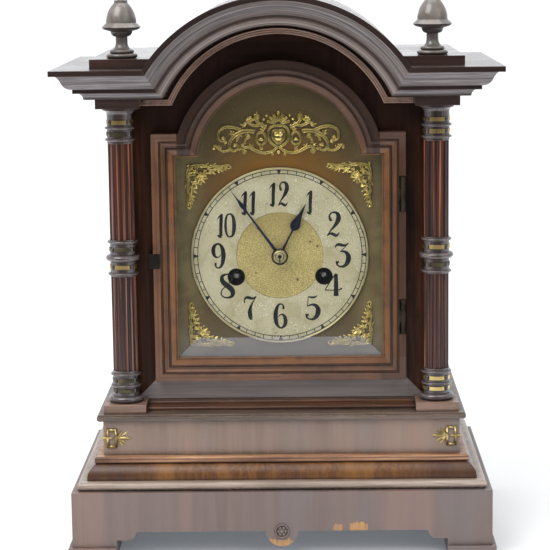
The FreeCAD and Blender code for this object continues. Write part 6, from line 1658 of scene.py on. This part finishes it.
CREST_LEAVES = (
    (21.5, 8.0, 60, 6.0), (25.5, 5.5, 15, 5.0), (17.5, 12.0, 100, 4.5), (12.0, 1.0, 80, 5.0), (23.0, -1.0, -60, 4.5),
    (30.0, -0.5, -75, 4.5), (35.5, -2.0, 60, 5.0), (40.5, -8.0, 20, 4.0), (31.0, -14.0, 100, 4.0),
    (20.5, -12.5, 60, 4.5), (12.5, -13.5, 45, 4.0), (45.5, -13.0, 70, 4.0), (4.5, -16.0, -70, 3.0),
    (27.0, -10.5, 30, 3.6))
SPANDREL_LEAVES = (
    (64.0, 64.0, 225, 8.5), (60.0, 66.0, 190, 6.5), (55.0, 68.5, 215, 6.5), (48.5, 69.5, 210, 6.0),
    (43.0, 70.5, 200, 5.0), (68.0, 68.0, 45, 5.5), (58.0, 70.5, 130, 4.0), (51.0, 71.0, 120, 3.4),
    (61.5, 61.5, 180, 5.5))


@dataclass
class Dial:
    """The dial plate, chapter ring, centre disc, numerals, ornaments and hands."""

    numeral_height: float = 18.3
    numeral_weight: float = 0.98
    numeral_radius: float = 48.7
    track_outer: float = 67.9 * MM
    track_inner: float = 65.1 * MM
    line_width: float = 0.62 * MM
    line_height: float = 0.05 * MM
    cast_weight: float = 1.18
    centre: Vector = field(default_factory=lambda: Vector((0, SIZES.ring_face, SIZES.dial_centre)))

    def build(self) -> None:
        """Dresses the dial and adds what is printed, cast and engraved on it."""
        dress({"dial_plate": DIAL_PLATE, "chapter_ring": CHAPTER, "centre_disc": DISC, "hand_nut": RIM})
        self.numerals()
        self.track()
        self.rims()
        self.wells()
        self.crest()
        self.spandrels()
        self.hour_hand()
        finish_piece(
            "minute_hand_blued", softened("minute_hand", 0.22), BLUED, frame["nodes"]["minute_hand"]["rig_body"],
            replaced=("minute_hand",))
        self.nut_pin()

    def hour_hand(self) -> None:
        """Cuts the hour hand: a thin stem, a rounded spade and a long point."""
        low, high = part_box("hour_hand")
        middle = Vector((0, (low.y + high.y) / 2, SIZES.dial_centre))
        reaches = [vert.co - middle for vert in frame["nodes"]["hour_hand"].data.vertices]
        tip = max(reaches, key=lambda reach: math.hypot(reach.x, reach.z))
        hub = min(math.hypot(reach.x, reach.z) for reach in reaches)
        length = math.hypot(tip.x, tip.z) / MM
        half = (high.y - low.y) / 2
        profile = (
            (4.0, 1.0), (12.0, 0.8), (20.0, 0.65), (22.6, 0.65), (23.4, 1.9), (24.2, 3.1), (25.8, 3.8), (27.8, 3.9),
            (30.0, 3.4), (32.6, 2.5), (35.6, 1.6), (39.0, 1.0), (43.0, 0.6), (length, 0.12))
        shape = drawn(
            [Stroke(tuple((0, reach, width) for reach, width in profile))], Section.FLAT, half / MM * 0.98, 8)
        add_ring(shape, [(hub, -half), (5.2 * MM, -half), (5.2 * MM, half), (hub, half)], Vector((0, 0, 0)), 32)
        face_out(shape)
        bmesh.ops.rotate(
            shape, cent=(0, 0, 0), matrix=Matrix.Rotation(math.atan2(tip.x, tip.z), 3, "Y"), verts=shape.verts)
        bmesh.ops.translate(shape, vec=middle, verts=shape.verts)
        finish_piece("hour_hand_blued", shape, BLUED, frame["nodes"]["hour_hand"]["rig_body"], smooth=False,
                     replaced=("hour_hand",))

    def numerals(self) -> None:
        """Draws the twelve numerals upright round the ring."""
        strokes = []
        for hour in range(1, 13):
            angle = math.radians(hour * 30)
            across = math.sin(angle) * self.numeral_radius
            up = math.cos(angle) * self.numeral_radius - self.numeral_height / 2
            text = str(hour)
            for shift, digit in zip(DIGIT_PLACES.get(text, (0.0,)), text):
                share = 1.0 if digit == "1" else PAIR_SHARE if len(text) > 1 else DIGIT_SHARES.get(digit, 1.0)
                strokes += [stroke.thickened(self.numeral_weight).squeezed(share).moved(
                    across + shift * self.numeral_height, up, self.numeral_height) for stroke in DIGITS[digit]]
        shape = drawn(strokes, Section.FLAT, 0.05)
        bmesh.ops.translate(shape, vec=self.centre, verts=shape.verts)
        finish_piece("numerals", shape, INK, "case", smooth=False)

    def track(self) -> None:
        """Lays the minute track: two circles, sixty strokes and twelve arrowheads."""
        shape = bmesh.new()
        rise, width = self.line_height, self.line_width
        for radius in (self.track_outer, self.track_inner):
            add_ring(shape, [(radius - width / 2, -rise), (radius + width / 2, -rise), (radius + width / 2, rise),
                             (radius - width / 2, rise)], self.centre, 180)
        tick = add_bar(shape, Vector((-width / 2, -rise * 0.9, self.track_inner)),
                       Vector((width / 2, rise * 0.9, self.track_outer)))
        bmesh.ops.translate(shape, vec=self.centre, verts=tick)
        faces = list({face for vert in tick for face in vert.link_faces})
        bmesh.ops.spin(shape, geom=faces, cent=self.centre, axis=(0, 1, 0), angle=math.radians(354), steps=59,
                       use_duplicate=True)
        arrow = bmesh.ops.create_cone(
            shape, cap_ends=True, segments=3, radius1=2.7 * MM, radius2=2.7 * MM, depth=rise * 2.4)["verts"]
        bmesh.ops.rotate(shape, cent=(0, 0, 0), matrix=Matrix.Rotation(math.radians(-90), 3, "X"), verts=arrow)
        low_point = min(arrow, key=lambda vert: vert.co.z).co.z
        high_point = max(arrow, key=lambda vert: vert.co.z).co.z
        if abs(high_point) > abs(low_point):
            bmesh.ops.rotate(shape, cent=(0, 0, 0), matrix=Matrix.Rotation(math.pi, 3, "Y"), verts=arrow)
        bmesh.ops.scale(shape, vec=(0.85, 1, 1.0), verts=arrow)
        bmesh.ops.translate(shape, vec=self.centre + Vector((0, 0, self.track_outer - 1.0 * MM)), verts=arrow)
        faces = list({face for vert in arrow for face in vert.link_faces})
        bmesh.ops.spin(shape, geom=faces, cent=self.centre, axis=(0, 1, 0), angle=math.radians(330), steps=11,
                       use_duplicate=True)
        face_out(shape)
        finish_piece("minute_track", shape, INK, "case", smooth=False)

    def rims(self) -> None:
        """Adds the gilt rim round the chapter ring."""
        shape = bmesh.new()
        radius, half, rise = 69.4, 0.55, 0.5
        outline = [((radius + half * math.cos(angle)) * MM, rise * math.sin(angle) * MM)
                   for angle in [math.radians(step) for step in range(-20, 201, 20)]]
        add_ring(shape, outline, self.centre)
        face_out(shape)
        finish_piece("chapter_rims", shape, RIM, "case")

    def wells(self) -> None:
        """Lines the two winding holes with near-black cups that the squared arbors stand in; their black is painted
        shade for the depth of the holes.
        """
        shape = bmesh.new()
        for arbor in ("going_winding_arbor", "strike_winding_arbor"):
            low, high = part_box(arbor)
            middle = Vector(((low.x + high.x) / 2, SIZES.plate_face, (low.z + high.z) / 2))
            # The cups' near-black is painted shade for the depth of each hole.
            outline = [(6.55, 1.35), (6.9, 1.6), (6.3, 1.6), (6.2, -7.5), (3.1, -7.5), (3.1, -8.0), (6.55, -8.0)]
            add_ring(shape, [(radius * MM, rise * MM) for radius, rise in outline], middle, 48)
        face_out(shape)
        finish_piece("winding_wells", shape, WELL, "case")

    def cast(self, name: str, strokes: list[Stroke], leaves: list[Stroke], balls: list[tuple[float, float, float]],
             origin: Vector, replaced: str) -> None:
        """Makes a pierced casting from round strokes and balls.

        Args:
            name: The piece's name.
            strokes: Its scrolls, in millimetres from the origin.
            leaves: Its leaves' lobes.
            balls: Its bosses: across, up and radius.
            origin: Where it lies on the plate.
            replaced: The solid that it stands for.
        """
        shape = drawn([stroke.thickened(self.cast_weight) for stroke in strokes], Section.ROUND, 0.55, 5)
        absorb(
            shape, drawn(ridged([stroke.thickened(self.cast_weight) for stroke in strokes]), Section.ROUND, 2.6, 5))
        absorb(shape, drawn(leaves, Section.ROUND, 1.1, 3))
        for across, up, radius in balls:
            add_ball(shape, Vector((across, 0, up)) * MM, (radius * MM, min(radius * 0.8, 2.3) * MM, radius * MM), 7)
        bmesh.ops.translate(shape, vec=origin, verts=shape.verts)
        finish_piece(name, shape, GILT, "case", replaced=(replaced,))

    def crest(self) -> None:
        """Casts the crest above the ring."""
        low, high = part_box("dial_crest")
        origin = Vector((0, SIZES.plate_face, (low.z + high.z) / 2))
        strokes = mirrored(CREST_HALF)
        for number in range(-3, 4):
            angle = math.radians(number * 24)
            tip = (math.sin(angle) * 9.5, 6.0 + math.cos(angle) * 9.0)
            strokes.append(Stroke(((math.sin(angle) * 2, 6.5 + math.cos(angle) * 2, .7),
                                   (math.sin(angle) * 6, 6.2 + math.cos(angle) * 6, 1.1), (*tip, 1.0))))
        leaves = []
        for x, y, heading, length in CREST_LEAVES:
            leaves += mirrored(leaf(x, y, heading, length))
        balls = [(0, -3.9, 3.6), (-1.9, -1.2, 2.3), (1.9, -1.2, 2.3), (0, 15.6, 1.5), (0, -15.6, 1.7)]
        for side in (-1, 1):
            balls += [(side * x, z, r) for x, z, r in (
                (22, 12, 1.5), (24.5, 10.4, 1.3), (22.6, 8.2, 1.2), (25.6, 7.2, 1.1), (20, 10, 1.2), (13.6, -5.4, 1.6),
                (16.4, 11.2, 1.3), (26.6, -14.2, 1.2), (34.4, -10.4, 1.3), (43.4, -4.6, 1.3), (50.4, -12.4, 1.3),
                (11.4, 10.4, 1.2), (9, 13.2, 1.1))]
        self.cast("cast_crest", strokes, leaves, balls, origin, "dial_crest")

    def spandrels(self) -> None:
        """Casts the four corner ornaments."""
        half = SPANDREL_HALF + [stroke.moved(swap=True) for stroke in SPANDREL_HALF]
        spots = [
            (66.5, 66.5, 2.2), (61, 70.6, 1.3), (70.6, 61, 1.3), (58.4, 65.4, 1.2), (65.4, 58.4, 1.2),
            (38.2, 71, 1.1), (71, 38.2, 1.1), (63, 62, 1.4), (71.6, 71.6, 1.4), (50, 68.6, 1.1), (68.6, 50, 1.1)]
        fans = [lobe for x, y, heading, length in SPANDREL_LEAVES for lobe in leaf(x, y, heading, length)]
        fans += [lobe.moved(swap=True) for lobe in fans]
        strokes, leaves, balls = [], [], []
        for side in (1, -1):
            for rise in (1, -1):
                leaves += [lobe.moved(flip_x=side < 0, flip_y=rise < 0) for lobe in fans]
                strokes += [stroke.moved(flip_x=side < 0, flip_y=rise < 0) for stroke in half]
                balls += [(x * side, z * rise, r) for x, z, r in spots]
        self.cast("cast_spandrels", strokes, leaves, balls, Vector((0, SIZES.plate_face, SIZES.dial_centre)),
                  "corner_spandrels")

    def nut_pin(self) -> None:
        """Adds the arbor's end and the taper pin through it, in front of the nut."""
        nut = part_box("hand_nut")
        shape = bmesh.new()
        arbor = bmesh.ops.create_cone(
            shape, cap_ends=True, segments=24, radius1=1.5 * MM, radius2=1.5 * MM, depth=1.2 * MM)["verts"]
        bmesh.ops.rotate(shape, cent=(0, 0, 0), matrix=Matrix.Rotation(math.radians(90), 3, "X"), verts=arbor)
        bmesh.ops.translate(shape, vec=(0, nut[0].y + 0.2 * MM, SIZES.dial_centre), verts=arbor)
        add_bar(shape, Vector((-0.35 * MM, nut[0].y - 0.05 * MM, SIZES.dial_centre - 4.6 * MM)),
                Vector((0.35 * MM, nut[0].y + 0.6 * MM, SIZES.dial_centre - 1.0 * MM)))
        outer = (nut[1].x - nut[0].x) / 2
        for radius, half in ((outer, 0.3 * MM), (outer * 0.55, 0.22 * MM)):
            back = 1.2 * MM if radius == outer else 0.5 * MM
            add_ring(shape, [(radius - half, -back), (radius + half, -back), (radius + half, 0.05 * MM),
                             (radius - half, 0.05 * MM)],
                     Vector((0, nut[0].y + 0.05 * MM, SIZES.dial_centre)), 40)
        face_out(shape)
        finish_piece("arbor_end", shape, BLUED, frame["nodes"]["hand_nut"]["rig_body"], smooth=False)


# ---------------------------------------------------------------- movement and back

@dataclass
class Movement:
    """The going and striking trains, pendulum, hammer and gong."""

    brass: tuple[str, ...] = (
        "movement_plates", "minute_wheel", "hour_wheel", "escape_wheel", "third_wheel", "centre_wheel",
        "second_wheel", "going_barrel", "strike_barrel", "cannon_pinion", "pendulum")
    steel: tuple[str, ...] = ("going_winding_arbor", "strike_winding_arbor", "pallet_anchor", "strike_hammer")

    def build(self) -> None:
        """Dresses the movement."""
        dress({node: CLOCK_BRASS for node in self.brass} | {node: STEEL for node in self.steel}
              | {"gong": BLUED, "gong_post": IRON, "movement_seat": INNER})


@dataclass
class Back:
    """The back of the case and its door."""

    def build(self) -> None:
        """Dresses the back."""
        dress({"back_frame": BACK, "rear_door": BACK, "rear_door_fittings": CLOCK_BRASS})


# ---------------------------------------------------------------- stage

@dataclass
class Studio:
    """The plain sweep, the soft lights and the camera."""

    camera_place: Vector = field(default_factory=lambda: Vector((0.0222, -1.5877, 0.4644)))
    yaw: float = math.radians(-0.97)
    pitch: float = math.radians(9.25)
    roll: float = math.radians(-0.72)
    lens: float = 129.5
    floor_reach: float = 4.0
    bend: float = 0.8
    bend_start: float = 1.2

    def build(self) -> None:
        """Sets up the stage."""
        bpy.context.scene.view_settings.view_transform = "Standard"
        self.sweep()
        self.sky()
        self.softbox("key_softbox", (-0.9, -1.0, 1.7), (0, 0, 0.25), 1.3, 26)
        self.softbox("fill_softbox", (1.2, -1.2, 1.1), (0, 0, 0.2), 1.2, 4.5)
        self.softbox("top_softbox", (0.0, 0.3, 1.9), (0, 0, 0.3), 1.6, 16)
        self.camera()

    def sweep(self) -> None:
        """Lays the floor and curves it up behind the clock."""
        shape = bmesh.new()
        start, bend, reach = self.bend_start, self.bend, self.floor_reach
        outline = [(-reach, 0.0), (start, 0.0)]
        for step in range(6, 91, 6):
            turn = math.radians(step)
            outline.append((start + math.sin(turn) * bend, bend - math.cos(turn) * bend))
        outline.append((start + bend, reach))
        line = [shape.verts.new((-reach, y, z)) for y, z in outline]
        edges = [shape.edges.new(pair) for pair in zip(line, line[1:])]
        made = bmesh.ops.extrude_edge_only(shape, edges=edges)["geom"]
        bmesh.ops.translate(
            shape, vec=(2 * reach, 0, 0), verts=[item for item in made if isinstance(item, bmesh.types.BMVert)])
        face_out(shape)
        floor = min(shape.faces, key=lambda face: face.calc_center_median().z)
        if floor.normal.z < 0:
            bmesh.ops.reverse_faces(shape, faces=shape.faces)
        data = bpy.data.meshes.new("sweep")
        shape.to_mesh(data)
        shape.free()
        data.polygons.foreach_set("use_smooth", [True] * len(data.polygons))
        data.materials.append(FLOOR.material())
        sweep = bpy.data.objects.new("sweep", data)
        bpy.context.scene.collection.objects.link(sweep)

    def sky(self) -> None:
        """Fills the room with even white light, dimmer level with the camera."""
        world = bpy.data.worlds.new("studio")
        bpy.context.scene.world = world
        world.use_nodes = True
        world.node_tree.nodes.clear()
        tree = Tree(world.node_tree)
        _, y, z = tree.split(tree.add("TexCoord").outputs["Generated"])
        rays = tree.add("LightPath").outputs
        lit = tree.band(tree.bare(z), 0.0, 0.6, 0.35, 1.0)
        mirrored_room = tree.band(z, 0.15, 0.75, 0.02, 1.0)
        ahead = tree.add("Mix", {0: rays["Is Glossy Ray"], 2: lit, 3: mirrored_room}, data_type="FLOAT").outputs[0]
        level = tree.math("MAXIMUM", tree.math("MAXIMUM", ahead, tree.band(y, -0.2, 0.4)), rays["Is Camera Ray"])
        shade = tree.mix(level, (0.0, 0.0, 0.0), (1.0, 1.0, 1.0))
        back = tree.add("Background", {0: shade, 1: 0.8})
        tree.add("OutputWorld", {0: back.outputs[0]})

    def softbox(self, name: str, place: tuple[float, ...], target: tuple[float, ...], size: float,
                power: float) -> None:
        """Hangs one square soft light.

        Args:
            name: The light's name.
            place: Where it hangs.
            target: What it faces.
            size: Its side, in metres.
            power: Its power, in watts.
        """
        data = bpy.data.lights.new(name, "AREA")
        data.size = size
        data.energy = power
        light = bpy.data.objects.new(name, data)
        light.location = place
        light.rotation_euler = (Vector(target) - Vector(place)).to_track_quat("-Z", "Y").to_euler()
        bpy.context.scene.collection.objects.link(light)

    def camera(self) -> None:
        """Stands the camera in front of the clock."""
        data = bpy.data.cameras.new("camera")
        data.lens = self.lens
        data.sensor_width = 36.0
        data.clip_end = 50.0
        forward = Vector((math.sin(self.yaw) * math.cos(self.pitch), math.cos(self.yaw) * math.cos(self.pitch),
                          -math.sin(self.pitch)))
        level = Vector((math.cos(self.yaw), -math.sin(self.yaw), 0))
        upright = level.cross(forward)
        right = level * math.cos(self.roll) + upright * math.sin(self.roll)
        up = upright * math.cos(self.roll) - level * math.sin(self.roll)
        turn = Matrix((right, up, -forward)).transposed().to_4x4()
        camera = bpy.data.objects.new("camera", data)
        camera.matrix_world = Matrix.Translation(self.camera_place) @ turn
        bpy.context.scene.collection.objects.link(camera)
        bpy.context.scene.camera = camera


def main() -> None:
    """Builds the clock's looks from the base up, then the stage."""
    logging.basicConfig(level=logging.INFO, format="%(name)s: %(message)s")
    make_effects()
    for part in (Base(), CaseBody(), Hood(), Door(), Dial(), Movement(), Back(), Studio()):
        part.build()
        LOG.info("%s is built", type(part).__name__)


if __name__ == "__main__":
    main()
